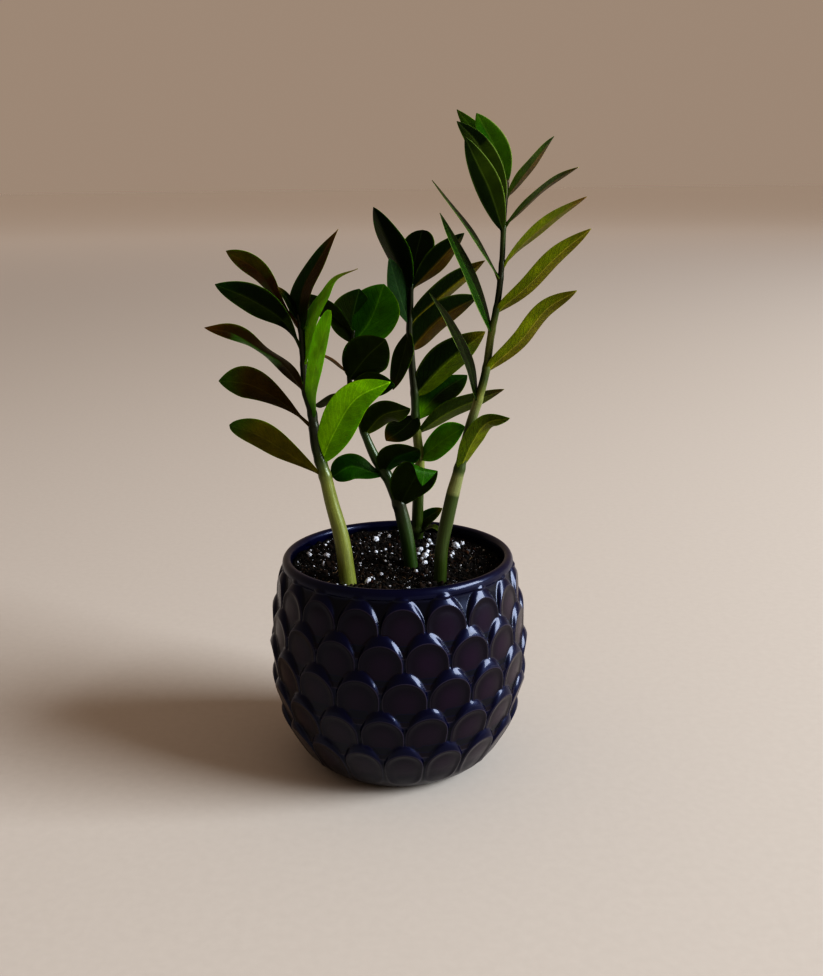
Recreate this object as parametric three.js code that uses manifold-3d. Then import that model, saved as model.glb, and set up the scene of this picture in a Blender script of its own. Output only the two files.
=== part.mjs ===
// A potted ZZ plant: four leafy stems standing in the potting soil of a round
// glazed pot, whose wall is covered by five rows of overlapping raised scales.
//
// Millimetres, +Z up. The origin is the centre of the flat underside of the pot,
// +X is the viewer's right and -Y is the side that faces the viewer.

import * as THREE from 'three';
import { mergeVertices } from 'three/addons/utils/BufferGeometryUtils.js';
import Module from 'manifold-3d';

const wasm = await Module();
wasm.setup();

// ---------------------------------------------------------------- pot sizes

const POT_SEGMENTS = 36;
const FOOT_RADIUS = 36;
const RIM_HEIGHT = 109;
const RIM_INNER_RADIUS = 52.6;
const LIP_RADIUS = 57.4;
const POT_FLOOR = 7;

// Outside of the plain wall under the scales, from the foot up: radius, height.
const WALL_OUTSIDE = [
  [FOOT_RADIUS, 0], [42.5, 2.4], [49, 8], [54, 16], [57.8, 25], [61, 36],
  [63, 48], [63.6, 60], [63, 72], [61.6, 83], [59.6, 94], [57.6, 101],
];
const LIP = [
  [LIP_RADIUS, 105], [LIP_RADIUS - 0.9, 108], [LIP_RADIUS - 2.4, RIM_HEIGHT],
  [RIM_INNER_RADIUS + 1, RIM_HEIGHT - 0.4], [RIM_INNER_RADIUS, RIM_HEIGHT - 2],
];
// Inside of the pot, from the rim down: radius, height.
const WALL_INSIDE = [
  [RIM_INNER_RADIUS, 100], [57.6, 64], [54.5, 34], [36, POT_FLOOR],
];

// The scales of each row are turned by half a scale from those of the row above.
const SCALES_PER_ROW = 18;
const FIRST_SCALE_ANGLE = 1.9;            // degrees to the right of the front
const SCALE_TOPS = [106, 90, 72.5, 53.5, 34.5];
const SCALE_HALF_ANGLE = 10.1;            // degrees, at the widest place
const SCALE_ARCH = 15.5;                  // top of the arch down to the widest place
const SCALE_ARCH_STEPS = 6;
const SCALE_LENGTH = 33;                  // down to the point under the next row
const SCALE_TAPER_SIDE = 0.62;            // share of the half width on the way to the
const SCALE_TAPER_DROP = 0.74;            // point, at this share of the length
const SCALE_RELIEF = 2.3;                 // how far the upper edge stands out
const SCALE_RELIEF_LOW = 0.5;             // the same at the lower point
const SCALE_CENTRE = 14.7;                // below the top: the face lies round it
const SCALE_FACE_HEIGHT = 0.76;           // the face against the whole outline
const SCALE_FACE_WIDTH = 0.89;
const SCALE_ROOT = 1.4;                   // how deep the outline lies in the wall
const SCALE_LOWEST = 1;                   // no outline reaches lower on the wall

// ---------------------------------------------------------------- soil sizes

const SOIL_CLEARANCE = 0.4;
const SOIL_LEVEL = 102.5;
const SOIL_MOUND = 1.8;
const SOIL_ROUGHNESS = 0.45;              // height of the lumps
const SOIL_RINGS = 4;
const HOLE_CLEARANCE = 0.45;
const HOLE_STEPS = 6;
const HOLE_SHARE = 0.16;                  // of the stem's curve, enough to pass the surface
const STEM_BURIED_TO = 84;                // height of the lower end of every stem
const SMALL_GRAINS = 24;
const SMALL_GRAIN_RADII = [0.9, 1.5];
const GRAIN_CORNER = 1.25;                // corner of a grain against its radius
const GRAIN_TO_RIM = 4;
const GRAIN_SEED = 20260;
// The larger white grains: x, y, radius.
const LARGE_GRAINS = [
  [29, 13, 2.4], [14, 20, 1.7], [12, 8, 1.6], [12, -1, 2], [15, -9, 1.3], [-11, 23, 1.6],
  [-12, 9, 1.4], [-36, 4, 1.9], [-45, 7, 1.2], [-15, -38, 1.9], [-7, -6, 1.3], [8, -30, 1.3],
];

// ---------------------------------------------------------------- leafy stems

const TO_VIEWER = new THREE.Vector3(0, -0.98, 0.2);
const STEM_SIDES = 8;
const STEM_STEPS = 14;
const BLADE_STATIONS = 8;
const BLADE_THICKNESS = 0.8;
const BLADE_RIB = 0.5;                    // how much thicker the blade is on its rib
const BLADE_FOLD = 0.1;                   // rise of the edges against half the width
const BLADE_TIP = 0.35;                   // half the width of the very tip
const BLADE_TAPER = 0.85;                 // under 1 keeps the outer half full
const PETIOLE_WIDTH = 2.4;

// A stem's path is its centre line from the soil up: x, y, z, radius. A leaflet
// grows from the stem at the height `at`, and `rib` gives the places that its
// midrib then passes, up to its tip. `width` is across its widest place, which
// lies at the share `belly` of its length. `facing` turns it on its own length,
// in degrees: 0 shows its upper face to the viewer, 90 turns the upper face to
// the top of the stem, and past 90 the underside shows. A small `shoulder`
// makes a full base.
const STEMS = [
  {
    name: 'left_leafy_stem',
    path: [
      [-24, -25, 103, 4.1], [-26.4, -23.3, 123, 3.8], [-31, -21.6, 142, 3.3],
      [-33.6, -20.6, 154, 3], [-37.4, -19.3, 168, 2.6], [-39, -18, 184, 2.2],
      [-41.6, -17, 194, 1.9], [-42.2, -15.8, 208, 1.7], [-43, -14.5, 222, 1.4],
      [-44.4, -13.9, 229, 1.1],
    ],
    leaflets: [
      { at: 153, side: 'left', rib: [[-52, -25, 167.5], [-64, -28, 176], [-76, -30, 181]],
        width: 19, facing: 138, belly: 0.68, shoulder: 1.3 },
      { at: 176, side: 'left', rib: [[-52, -20, 189], [-67, -21, 198], [-81, -22, 200]],
        width: 19, facing: 138, belly: 0.73, shoulder: 2.4 },
      { at: 192, side: 'left', rib: [[-51, -17, 207], [-66, -18, 218], [-87, -18, 224]],
        width: 15, facing: 110, belly: 0.5, shoulder: 1.2 },
      { at: 212, side: 'left', rib: [[-50, -18, 226], [-65, -21, 237], [-80, -24, 244]],
        width: 19, facing: 138, belly: 0.62, shoulder: 2 },
      { at: 222, side: 'left', rib: [[-52, -14, 235], [-62, -13, 249], [-76, -12, 258]],
        width: 16, facing: 132, belly: 0.76, shoulder: 3 },
      { at: 226, side: 'left', rib: [[-48, -15, 235], [-53, -16, 242]],
        width: 8, facing: 60, belly: 0.5, shoulder: 1 },
      { at: 160, side: 'right', rib: [[-27.5, -25, 176], [-17.5, -30, 193], [-2, -34, 200]],
        width: 19, facing: 20, belly: 0.42, shoulder: 0.8 },
      { at: 184, side: 'right', rib: [[-36, -26, 205], [-30.5, -33, 222], [-27, -38, 233]],
        width: 15, facing: 62, belly: 0.55, shoulder: 0.7 },
      { at: 205, side: 'right', rib: [[-36, -18, 227], [-28.5, -20, 242.5], [-16, -22, 250]],
        width: 14, facing: 64, belly: 0.42, shoulder: 1 },
      { at: 226, side: 'right', rib: [[-42.5, -13, 236], [-36, -12, 250], [-25, -10, 267]],
        width: 14, facing: 60, belly: 0.35, shoulder: 0.9 },
    ],
  },
  {
    name: 'front_leafy_stem',
    path: [
      [6.6, -3, 103, 3.5], [4.9, -2, 116, 3.5], [3, -1.2, 126, 3.5], [1, -0.6, 134, 3.2],
      [-3.6, 0.3, 146, 2.8], [-9.6, 1.2, 156, 2.5], [-14, 2, 166, 2], [-18, 3, 178, 1.7],
      [-21.8, 4.2, 193, 1.3], [-21.6, 4.8, 200, 1.2], [-20.5, 5.6, 211, 1.1],
      [-19.6, 6.4, 219, 1],
    ],
    leaflets: [
      { at: 133, side: 'right', rib: [[7, -12, 147], [13, -24, 159]],
        width: 21, facing: 165, belly: 0.6, shoulder: 0.8 },
      { at: 150, side: 'right', rib: [[-1, -6, 158], [11, -20, 166]],
        width: 18, facing: 140, belly: 0.45, shoulder: 0.6 },
      { at: 149, side: 'left', rib: [[-20, -3, 153], [-31, -6, 151]],
        width: 14, facing: 40, belly: 0.66, shoulder: 1 },
      { at: 169, side: 'right', rib: [[-6, -7, 180], [7, -18, 185]],
        width: 17, facing: 138, belly: 0.42, shoulder: 0.6 },
      { at: 191, side: 'right', rib: [[-12, 2, 193], [0, 0, 193]],
        width: 15, facing: 140, belly: 0.5, shoulder: 0.7 },
      { at: 196, side: 'right', rib: [[-13, -5, 208], [-4, -14, 217]],
        width: 22, facing: 165, belly: 0.5, shoulder: 0.6 },
      { at: 213, side: 'left', rib: [[-19.5, 10, 224], [-17, 13, 237]],
        width: 20, facing: 20, belly: 0.45, shoulder: 0.6 },
      { at: 212, side: 'right', rib: [[-10.5, 9, 223], [-3.5, 13, 239]],
        width: 21, facing: 10, belly: 0.6, shoulder: 0.6 },
      { at: 198, side: 'left', rib: [[-31, -1, 206], [-41, -6, 212]],
        width: 10, facing: 88, belly: 0.5, shoulder: 1 },
      { at: 182, side: 'left', rib: [[-30, 10, 184], [-40, 16, 181]],
        width: 12, facing: 60, belly: 0.55, shoulder: 1 },
      { at: 218, side: 'left', rib: [[-33, 5, 229], [-49, 4, 237]],
        width: 14, facing: 125, belly: 0.5, shoulder: 1 },
    ],
  },
  {
    name: 'back_leafy_stem',
    path: [
      [10.5, 38, 103, 3.1], [11, 37.2, 120, 3], [11.6, 36, 134, 2.8], [12.3, 35.5, 147, 2.5],
      [11.3, 34.9, 158, 2.4], [10.3, 34.2, 169, 2.2], [10.1, 33.6, 180, 2.1], [9.3, 33, 190, 1.9],
      [8.2, 32, 205, 1.9], [7.6, 31.4, 216, 1.5], [8.5, 30.5, 228, 1.3], [8.8, 30, 239, 1.1],
    ],
    leaflets: [
      { at: 108, side: 'right', rib: [[14, 37, 114], [24, 36, 121]],
        width: 9, facing: 35, belly: 0.45, shoulder: 0.8 },
      { at: 106.5, side: 'right', rib: [[19, 31, 112], [24, 26, 109]],
        width: 7, facing: 75, belly: 0.5, shoulder: 1 },
      { at: 236, side: 'left', rib: [[-1, 24, 257], [-9, 18, 276]],
        width: 18, facing: 40, belly: 0.5, shoulder: 0.8 },
      { at: 237, side: 'right', rib: [[11, 37, 250], [15, 46, 264]],
        width: 18, facing: 25, belly: 0.66, shoulder: 0.9 },
      { at: 236, side: 'right', rib: [[22, 29, 249], [35, 28, 263]],
        width: 15, facing: 132, belly: 0.5, shoulder: 0.9 },
      { at: 218, side: 'left', rib: [[3, 27, 233], [-2, 21, 252]],
        width: 14, facing: 40, belly: 0.5, shoulder: 1 },
      { at: 219, side: 'right', rib: [[26, 34, 234], [46, 38, 249]],
        width: 16, facing: 125, belly: 0.4, shoulder: 0.8 },
      { at: 206, side: 'right', rib: [[24, 37, 221], [43, 42, 231]],
        width: 19, facing: 135, belly: 0.4, shoulder: 0.7 },
      { at: 182, side: 'right', rib: [[25, 34, 197], [46, 34, 214]],
        width: 21, facing: 142, belly: 0.45, shoulder: 0.7 },
      { at: 169, side: 'right', rib: [[23, 43, 181], [38, 52, 189]],
        width: 19, facing: 40, belly: 0.5, shoulder: 0.8 },
      { at: 162, side: 'right', rib: [[28, 35, 173], [56, 36, 184]],
        width: 17, facing: 123, belly: 0.4, shoulder: 0.8 },
      { at: 148, side: 'right', rib: [[25, 27, 160], [35, 20, 168]],
        width: 18, facing: 42, belly: 0.5, shoulder: 0.8 },
      { at: 169, side: 'left', rib: [[3, 25, 166], [-6, 14, 162]],
        width: 16, facing: 40, belly: 0.5, shoulder: 0.8 },
      { at: 207, side: 'left', rib: [[4, 26, 195], [-3, 20, 183]],
        width: 14, facing: 135, belly: 0.45, shoulder: 0.8 },
    ],
  },
  {
    name: 'right_leafy_stem',
    path: [
      [20.2, -23.5, 103, 3.2], [21.2, -22.2, 118, 3.2], [23.8, -20.9, 131, 3.3],
      [27, -19.8, 145, 3.2], [29.2, -19, 153, 2.8], [31, -18.3, 160, 2.5],
      [35, -16.8, 176, 2.3], [39.5, -15.5, 190, 2.1], [42.6, -14.4, 202, 1.9],
      [45, -12.8, 218, 1.7], [48.2, -11.3, 234, 1.5], [50.1, -9.5, 252, 1.3],
      [51, -7.5, 272, 1.2], [52.4, -6, 288, 1],
    ],
    leaflets: [
      { at: 155, side: 'right', rib: [[36, -25, 171], [42, -29, 180], [52, -34, 183]],
        width: 14, facing: 132, belly: 0.4, shoulder: 0.7 },
      { at: 202, side: 'right', rib: [[58, -17, 216], [70, -20, 231], [83, -22, 239]],
        width: 14, facing: 128, belly: 0.62, shoulder: 0.7 },
      { at: 229, side: 'right', rib: [[61, -12, 240], [76, -13, 255], [90, -14, 266]],
        width: 13, facing: 128, belly: 0.6, shoulder: 0.8 },
      { at: 249, side: 'right', rib: [[59, -9, 259], [73, -7, 270], [89, -6, 280]],
        width: 12, facing: 112, belly: 0.5, shoulder: 0.8 },
      { at: 267, side: 'right', rib: [[62, -7, 277.5], [73, -5, 286.5], [85, -4, 293]],
        width: 11, facing: 104, belly: 0.45, shoulder: 0.9 },
      { at: 280, side: 'right', rib: [[60, -2, 289.5], [75, 6, 307]],
        width: 12, facing: 116, belly: 0.35, shoulder: 0.8 },
      { at: 187, side: 'left', rib: [[34, -19, 206], [26, -21, 224], [16, -24, 239]],
        width: 14, facing: 68, belly: 0.45, shoulder: 0.6 },
      { at: 219, side: 'left', rib: [[39, -16, 236], [29.5, -20, 256], [21, -24, 274]],
        width: 14, facing: 65, belly: 0.45, shoulder: 0.6 },
      { at: 243, side: 'left', rib: [[39.5, -12, 259], [27.5, -13, 275.5], [18, -14, 288]],
        width: 12, facing: 80, belly: 0.5, shoulder: 0.8 },
      { at: 265, side: 'left', rib: [[43.5, -16, 284], [35.5, -23, 299], [32, -26, 306]],
        width: 16, facing: 50, belly: 0.5, shoulder: 0.7 },
      { at: 277, side: 'left', rib: [[46, -10, 291], [37, -14, 305], [29, -16, 313]],
        width: 15, facing: 50, belly: 0.5, shoulder: 0.7 },
      { at: 283, side: 'left', rib: [[44, -3, 301], [30, 2, 319]],
        width: 12, facing: 50, belly: 0.5, shoulder: 0.8 },
      { at: 286, side: 'left', rib: [[47, -8, 301], [38, -10, 317]],
        width: 15, facing: 40, belly: 0.5, shoulder: 0.7 },
    ],
  },
];

// ---------------------------------------------------------------- materials

const GLAZE = new THREE.MeshStandardMaterial({ color: 0x141a3c, roughness: 0.14, metalness: 0 });
const SOIL = new THREE.MeshStandardMaterial({ color: 0x1d1512, roughness: 0.95, metalness: 0 });
const leafMaterial = () =>
  new THREE.MeshStandardMaterial({ color: 0x1f5a1c, roughness: 0.35, metalness: 0 });

// ---------------------------------------------------------------- solids

const SLIVER = 0.13;                      // facets that differ by less are joined

function solidFrom(geometry) {
  const bare = geometry.clone();
  bare.deleteAttribute('normal');
  bare.deleteAttribute('uv');
  const merged = mergeVertices(bare, 1e-4);
  return new wasm.Manifold(new wasm.Mesh({
    numProp: 3,
    vertProperties: new Float32Array(merged.attributes.position.array),
    triVerts: new Uint32Array(merged.index.array),
  }));
}

function geometryFrom(points, triangles) {
  const geometry = new THREE.BufferGeometry();
  geometry.setAttribute('position', new THREE.Float32BufferAttribute(points.flat(), 3));
  geometry.setIndex(triangles.flat());
  return geometry;
}

function meshFrom(solid, name, material) {
  const result = solid.simplify(SLIVER).getMesh();
  const geometry = new THREE.BufferGeometry();
  geometry.setAttribute('position', new THREE.BufferAttribute(result.vertProperties, 3));
  geometry.setIndex(new THREE.BufferAttribute(result.triVerts, 1));
  geometry.computeVertexNormals();
  const mesh = new THREE.Mesh(geometry, material);
  mesh.name = name;
  return mesh;
}

function unionOf(solids) {
  return wasm.Manifold.union(solids);
}

// A closed skin over rings of equally many points, with a flat end at each side.
function skinOf(rings) {
  const count = rings[0].length;
  const triangles = [];
  for (let r = 0; r + 1 < rings.length; r++) {
    for (let i = 0; i < count; i++) {
      const a = r * count + i;
      const b = r * count + (i + 1) % count;
      triangles.push([a, b, b + count], [a, b + count, a + count]);
    }
  }
  const last = (rings.length - 1) * count;
  for (let i = 1; i + 1 < count; i++) {
    triangles.push([0, i + 1, i], [last, last + i, last + i + 1]);
  }
  return geometryFrom(rings.flat(), triangles);
}

// A repeatable random sequence from 0 to 1, by repeated multiplication.
function randomFrom(seed) {
  const factor = 16807;
  const modulus = 2 ** 31 - 1;
  let state = seed;
  return () => {
    state = (state * factor) % modulus;
    return state / modulus;
  };
}

// ---------------------------------------------------------------- pot

function radiusAt(profile, height) {
  for (let i = 0; i + 1 < profile.length; i++) {
    const [r0, z0] = profile[i];
    const [r1, z1] = profile[i + 1];
    if ((height - z0) * (height - z1) <= 0) {
      return r0 + (r1 - r0) * (height - z0) / (z1 - z0);
    }
  }
  const nearest = Math.abs(height - profile[0][1]) < Math.abs(height - profile.at(-1)[1]) ? 0 : -1;
  return profile.at(nearest)[0];
}

function latheSolid(profile) {
  const points = profile.map(([radius, height]) => new THREE.Vector2(radius, height));
  const geometry = new THREE.LatheGeometry(points, POT_SEGMENTS);
  geometry.rotateX(Math.PI / 2);
  return solidFrom(geometry);
}

// A point on the wall, `out` mm outside the plain wall. Angles go to the right
// from the front.
function onWall(angle, height, out) {
  const radius = radiusAt(WALL_OUTSIDE, height) + out;
  const turn = THREE.MathUtils.degToRad(angle);
  return [radius * Math.sin(turn), -radius * Math.cos(turn), height];
}

// The outline of a scale, as sideways share and height below its top: an arch,
// then two straight sides down to a point.
function scaleOutline() {
  const outline = [];
  for (let i = 0; i <= SCALE_ARCH_STEPS; i++) {
    const turn = Math.PI * i / SCALE_ARCH_STEPS;
    outline.push([Math.cos(turn), SCALE_ARCH * (1 - Math.sin(turn))]);
  }
  outline.push([-SCALE_TAPER_SIDE, SCALE_LENGTH * SCALE_TAPER_DROP]);
  outline.push([0, SCALE_LENGTH]);
  outline.push([SCALE_TAPER_SIDE, SCALE_LENGTH * SCALE_TAPER_DROP]);
  return outline;
}

// One scale: its outline deep in the wall, joined to a smaller face outside it.
function scaleSolid(angle, top) {
  const relief = (down) =>
    THREE.MathUtils.lerp(SCALE_RELIEF, SCALE_RELIEF_LOW, Math.min(1, down / SCALE_LENGTH));
  const outline = scaleOutline();
  const root = outline.map(([side, down]) => {
    const height = Math.max(SCALE_LOWEST, top - down);
    return onWall(angle + side * SCALE_HALF_ANGLE, height, -SCALE_ROOT);
  });
  const face = outline.map(([side, down]) => {
    const inner = THREE.MathUtils.lerp(SCALE_CENTRE, down, SCALE_FACE_HEIGHT);
    const height = Math.max(2 * SCALE_LOWEST, top - inner);
    return onWall(angle + side * SCALE_HALF_ANGLE * SCALE_FACE_WIDTH, height, relief(inner));
  });
  return solidFrom(skinOf([root, face]));
}

function makePot() {
  const wall = latheSolid([[0, 0], ...WALL_OUTSIDE, ...LIP, ...WALL_INSIDE, [0, POT_FLOOR]]);
  const scales = [];
  SCALE_TOPS.forEach((top, row) => {
    for (let i = 0; i < SCALES_PER_ROW; i++) {
      const step = i + (row % 2) / 2;
      scales.push(scaleSolid(FIRST_SCALE_ANGLE + step * 360 / SCALES_PER_ROW, top));
    }
  });
  return meshFrom(unionOf([wall, ...scales]), 'pot', GLAZE);
}

// ---------------------------------------------------------------- stems

function stemCurve(stem, bottom = STEM_BURIED_TO) {
  const points = stem.path.map(([x, y, z]) => new THREE.Vector3(x, y, z));
  const [first, second] = points;
  const slope = second.clone().sub(first).divideScalar(second.z - first.z);
  points.unshift(first.clone().addScaledVector(slope, bottom - first.z));
  return new THREE.CatmullRomCurve3(points, false, 'centripetal');
}

function stemRadius(stem, height) {
  const profile = stem.path.map(([, , z, radius]) => [radius, z]);
  return radiusAt(profile, height);
}

function tubeAlong(curve, radiusOf, steps, from, to) {
  const rings = [];
  for (let s = 0; s <= steps; s++) {
    const u = from + (to - from) * s / steps;
    const centre = curve.getPoint(u);
    const along = curve.getTangent(u);
    const across = new THREE.Vector3(0, -1, 0).cross(along).normalize();
    const outward = along.clone().cross(across).normalize();
    const ring = [];
    for (let i = 0; i < STEM_SIDES; i++) {
      const turn = 2 * Math.PI * i / STEM_SIDES;
      const point = centre.clone()
        .addScaledVector(across, radiusOf(centre.z) * Math.cos(turn))
        .addScaledVector(outward, radiusOf(centre.z) * Math.sin(turn));
      ring.push(point.toArray());
    }
    rings.push(ring);
  }
  return solidFrom(skinOf(rings));
}

// A stem only rises, so halving finds where it passes a height.
function pointAtHeight(curve, height) {
  const halvings = 24;
  let low = 0;
  let high = 1;
  for (let i = 0; i < halvings; i++) {
    const middle = (low + high) / 2;
    if (curve.getPoint(middle).z < height) {
      low = middle;
    } else {
      high = middle;
    }
  }
  return curve.getPoint(low);
}

// Half the width of a blade as a share of its widest place, t from 0 to 1.
function bladeOutline(t, leaf) {
  if (t < leaf.belly) {
    return Math.sin(Math.PI / 2 * t / leaf.belly) ** leaf.shoulder;
  }
  const past = (t - leaf.belly) / (1 - leaf.belly);
  return (1 - past ** 2) ** BLADE_TAPER;
}

// The directions in which a blade faces and spreads where it runs `along`.
function bladeFrame(along, leaf) {
  const toViewer = TO_VIEWER.clone();
  toViewer.addScaledVector(along, -toViewer.dot(along)).normalize();
  const toTop = leaf.side === 'left'
    ? along.clone().cross(toViewer)
    : toViewer.clone().cross(along);
  const facing = THREE.MathUtils.degToRad(leaf.facing);
  const up = toViewer.multiplyScalar(Math.cos(facing)).addScaledVector(toTop, Math.sin(facing));
  return { up, across: up.clone().cross(along).normalize() };
}

// One leaflet: a slim solid blade, thicker on its rib, its base sunk in the stem.
function bladeSolid(stemPath, leaf) {
  const base = pointAtHeight(stemPath, leaf.at);
  const places = leaf.rib.map((place) => new THREE.Vector3(...place));
  const rib = new THREE.CatmullRomCurve3([base, ...places], false, 'centripetal');
  const rings = [];
  for (let s = 0; s < BLADE_STATIONS; s++) {
    const t = s / (BLADE_STATIONS - 1);
    const centre = rib.getPointAt(t);
    const { up, across } = bladeFrame(rib.getTangentAt(t), leaf);
    const half = Math.max(leaf.width / 2 * bladeOutline(t, leaf),
      THREE.MathUtils.lerp(PETIOLE_WIDTH / 2, BLADE_TIP, t));
    const thick = BLADE_THICKNESS / 2;
    const ridge = thick + BLADE_RIB * (1 - t);
    const fold = half * BLADE_FOLD;
    const at = (sideways, height) => centre.clone()
      .addScaledVector(across, sideways)
      .addScaledVector(up, height)
      .toArray();
    rings.push([
      at(half, fold + thick), at(0, ridge), at(-half, fold + thick),
      at(-half, fold - thick), at(0, -ridge), at(half, fold - thick),
    ]);
  }
  return solidFrom(skinOf(rings));
}

function makeLeafyStem(stem) {
  const curve = stemCurve(stem);
  const stalk = tubeAlong(curve, (z) => stemRadius(stem, z), STEM_STEPS, 0, 1);
  const blades = stem.leaflets.map((leaf) => bladeSolid(curve, leaf));
  return meshFrom(unionOf([stalk, ...blades]), stem.name, leafMaterial());
}

// ---------------------------------------------------------------- soil

// The soil's surface: higher at the back and the left, with broad soft lumps.
function soilHeight(x, y) {
  const lumps = Math.sin(x * 0.33 + 1.3) * Math.cos(y * 0.29 - 0.6)
    + 0.7 * Math.sin(x * 0.24 - y * 0.38);
  const mound = SOIL_MOUND * (y - 0.6 * x) / RIM_INNER_RADIUS;
  return SOIL_LEVEL + mound + SOIL_ROUGHNESS * lumps;
}

function soilBody() {
  const wall = WALL_INSIDE.map(([radius, height]) => [radius - SOIL_CLEARANCE, height]);
  const bottom = POT_FLOOR + SOIL_CLEARANCE;
  const rings = [];
  const ringAt = (radius, heightOf) => {
    const ring = [];
    for (let i = 0; i < POT_SEGMENTS; i++) {
      const turn = 2 * Math.PI * i / POT_SEGMENTS;
      const x = radius * Math.sin(turn);
      const y = -radius * Math.cos(turn);
      ring.push([x, y, heightOf(x, y)]);
    }
    return ring;
  };
  rings.push(ringAt(wall.at(-1)[0], () => bottom));
  for (const [radius, height] of wall.slice(0, -1).reverse()) {
    rings.push(ringAt(radius, () => height));
  }
  const edge = wall[0][0];
  for (let r = SOIL_RINGS; r >= 1; r--) {
    rings.push(ringAt(edge * r / SOIL_RINGS, soilHeight));
  }
  return solidFrom(skinOf(rings));
}

function grainSolid(x, y, radius, random) {
  const grain = new THREE.OctahedronGeometry(radius * GRAIN_CORNER, 0);
  grain.rotateX(random() * Math.PI);
  grain.rotateY(random() * Math.PI);
  grain.translate(x, y, soilHeight(x, y));
  return solidFrom(grain);
}

function isClearOfStems(x, y, radius) {
  return STEMS.every((stem) => {
    const [stemX, stemY, , stemSize] = stem.path[0];
    const gap = Math.hypot(x - stemX, y - stemY) - stemSize - HOLE_CLEARANCE;
    return gap > radius * GRAIN_CORNER;
  });
}

function makeSoil() {
  const random = randomFrom(GRAIN_SEED);
  const grains = LARGE_GRAINS.map(([x, y, radius]) => grainSolid(x, y, radius, random));
  for (let i = 0; i < SMALL_GRAINS; i++) {
    const reach = Math.sqrt(random()) * (RIM_INNER_RADIUS - GRAIN_TO_RIM);
    const turn = random() * 2 * Math.PI;
    const radius = THREE.MathUtils.lerp(...SMALL_GRAIN_RADII, random());
    const x = reach * Math.cos(turn);
    const y = reach * Math.sin(turn);
    if (isClearOfStems(x, y, radius)) {
      grains.push(grainSolid(x, y, radius, random));
    }
  }
  const holes = STEMS.map((stem) => {
    const curve = stemCurve(stem, STEM_BURIED_TO - HOLE_CLEARANCE);
    const wide = (z) => stemRadius(stem, z) + HOLE_CLEARANCE;
    return tubeAlong(curve, wide, HOLE_STEPS, 0, HOLE_SHARE);
  });
  const body = unionOf([soilBody(), ...grains]).subtract(unionOf(holes));
  return meshFrom(body, 'soil', SOIL);
}

// ---------------------------------------------------------------- assembly

const group = new THREE.Group();
group.add(makePot());
group.add(makeSoil());
for (const stem of STEMS) {
  group.add(makeLeafyStem(stem));
}

export default group;
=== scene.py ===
"""The looks of a potted ZZ plant: four leafy stems in the soil of a glazed pot with raised scales.

Sizes are in millimetres, and every mesh is turned into metres when it is made. +X is the viewer's
right, -Y is towards the viewer, +Z is up, and the origin is the centre of the pot's underside.
Colours are red, green and blue from 0 to 255, as they look in even light, except where a comment says that
they hold painted light or shade.
"""

import itertools
import math

import bpy
import numpy as np
from mathutils import Matrix, Vector, noise


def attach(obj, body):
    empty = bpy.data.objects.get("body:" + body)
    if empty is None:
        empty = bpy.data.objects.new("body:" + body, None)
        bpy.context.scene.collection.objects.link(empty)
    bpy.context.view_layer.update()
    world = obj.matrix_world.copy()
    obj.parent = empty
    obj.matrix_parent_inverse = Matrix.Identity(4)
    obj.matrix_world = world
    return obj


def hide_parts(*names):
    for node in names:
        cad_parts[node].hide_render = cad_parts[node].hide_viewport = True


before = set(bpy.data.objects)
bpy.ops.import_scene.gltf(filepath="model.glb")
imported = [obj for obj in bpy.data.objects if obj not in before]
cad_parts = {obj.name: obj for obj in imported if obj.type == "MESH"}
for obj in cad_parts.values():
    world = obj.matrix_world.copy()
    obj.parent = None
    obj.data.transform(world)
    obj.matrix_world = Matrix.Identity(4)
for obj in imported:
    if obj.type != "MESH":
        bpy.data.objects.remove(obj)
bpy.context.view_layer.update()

MM = 0.001
BODY = "root"
FULL_TURN = 2 * math.pi

# ---------------- pot sizes

POT_COLUMNS = 760
WALL_ROWS = 262
INSIDE_ROWS = 30
FOOT_RADIUS = 36
RIM_HEIGHT = 109
RIM_INNER_RADIUS = 52.6
LIP_RADIUS = 57.4
LIP_FOOT = 104              # the plain wall ends here
POT_FLOOR = 7
GLAZE_BACK = 0.7            # the plain wall lies this much inside the solid's, under the glaze
GLAZE_RIPPLE = 0.06
GLAZE_WAVES = (5, 7)        # degrees of the ripple for a degree round the pot and for a mm up
RELIEF_SPAN = (0.5, 107)    # heights between which the wall has relief
RELIEF_RISE = 8             # it has its full relief from this height on

# Radius and height along the pot's surface: its underside from the middle out, the plain wall
# under the scales from the foot up, the lip, the inside from the rim down, and the floor.
UNDERSIDE = [(0.01, 0), (18, 0), (34, 0)]
WALL_OUTSIDE = [
    (FOOT_RADIUS, 0), (42.5, 2.4), (49, 8), (54, 16), (57.8, 25), (61, 36),
    (63, 48), (63.6, 60), (63, 72), (61.6, 83), (59.6, 94), (57.6, 101),
]
LIP = [
    (LIP_RADIUS - 0.3, 103.6), (LIP_RADIUS, 105.6), (LIP_RADIUS - 0.5, 107.6),
    (LIP_RADIUS - 1.6, 108.8), (LIP_RADIUS - 2.6, RIM_HEIGHT - 0.02), (RIM_INNER_RADIUS + 0.9, 108.5),
    (RIM_INNER_RADIUS + 0.1, 107), (RIM_INNER_RADIUS + 0.1, 104),
]
WALL_INSIDE = [(53.1, 98), (57.6, 64), (54.5, 34), (49, 16), (42, 9), (36, POT_FLOOR)]
INSIDE_FLOOR = [(18, POT_FLOOR), (0.01, POT_FLOOR)]

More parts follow.
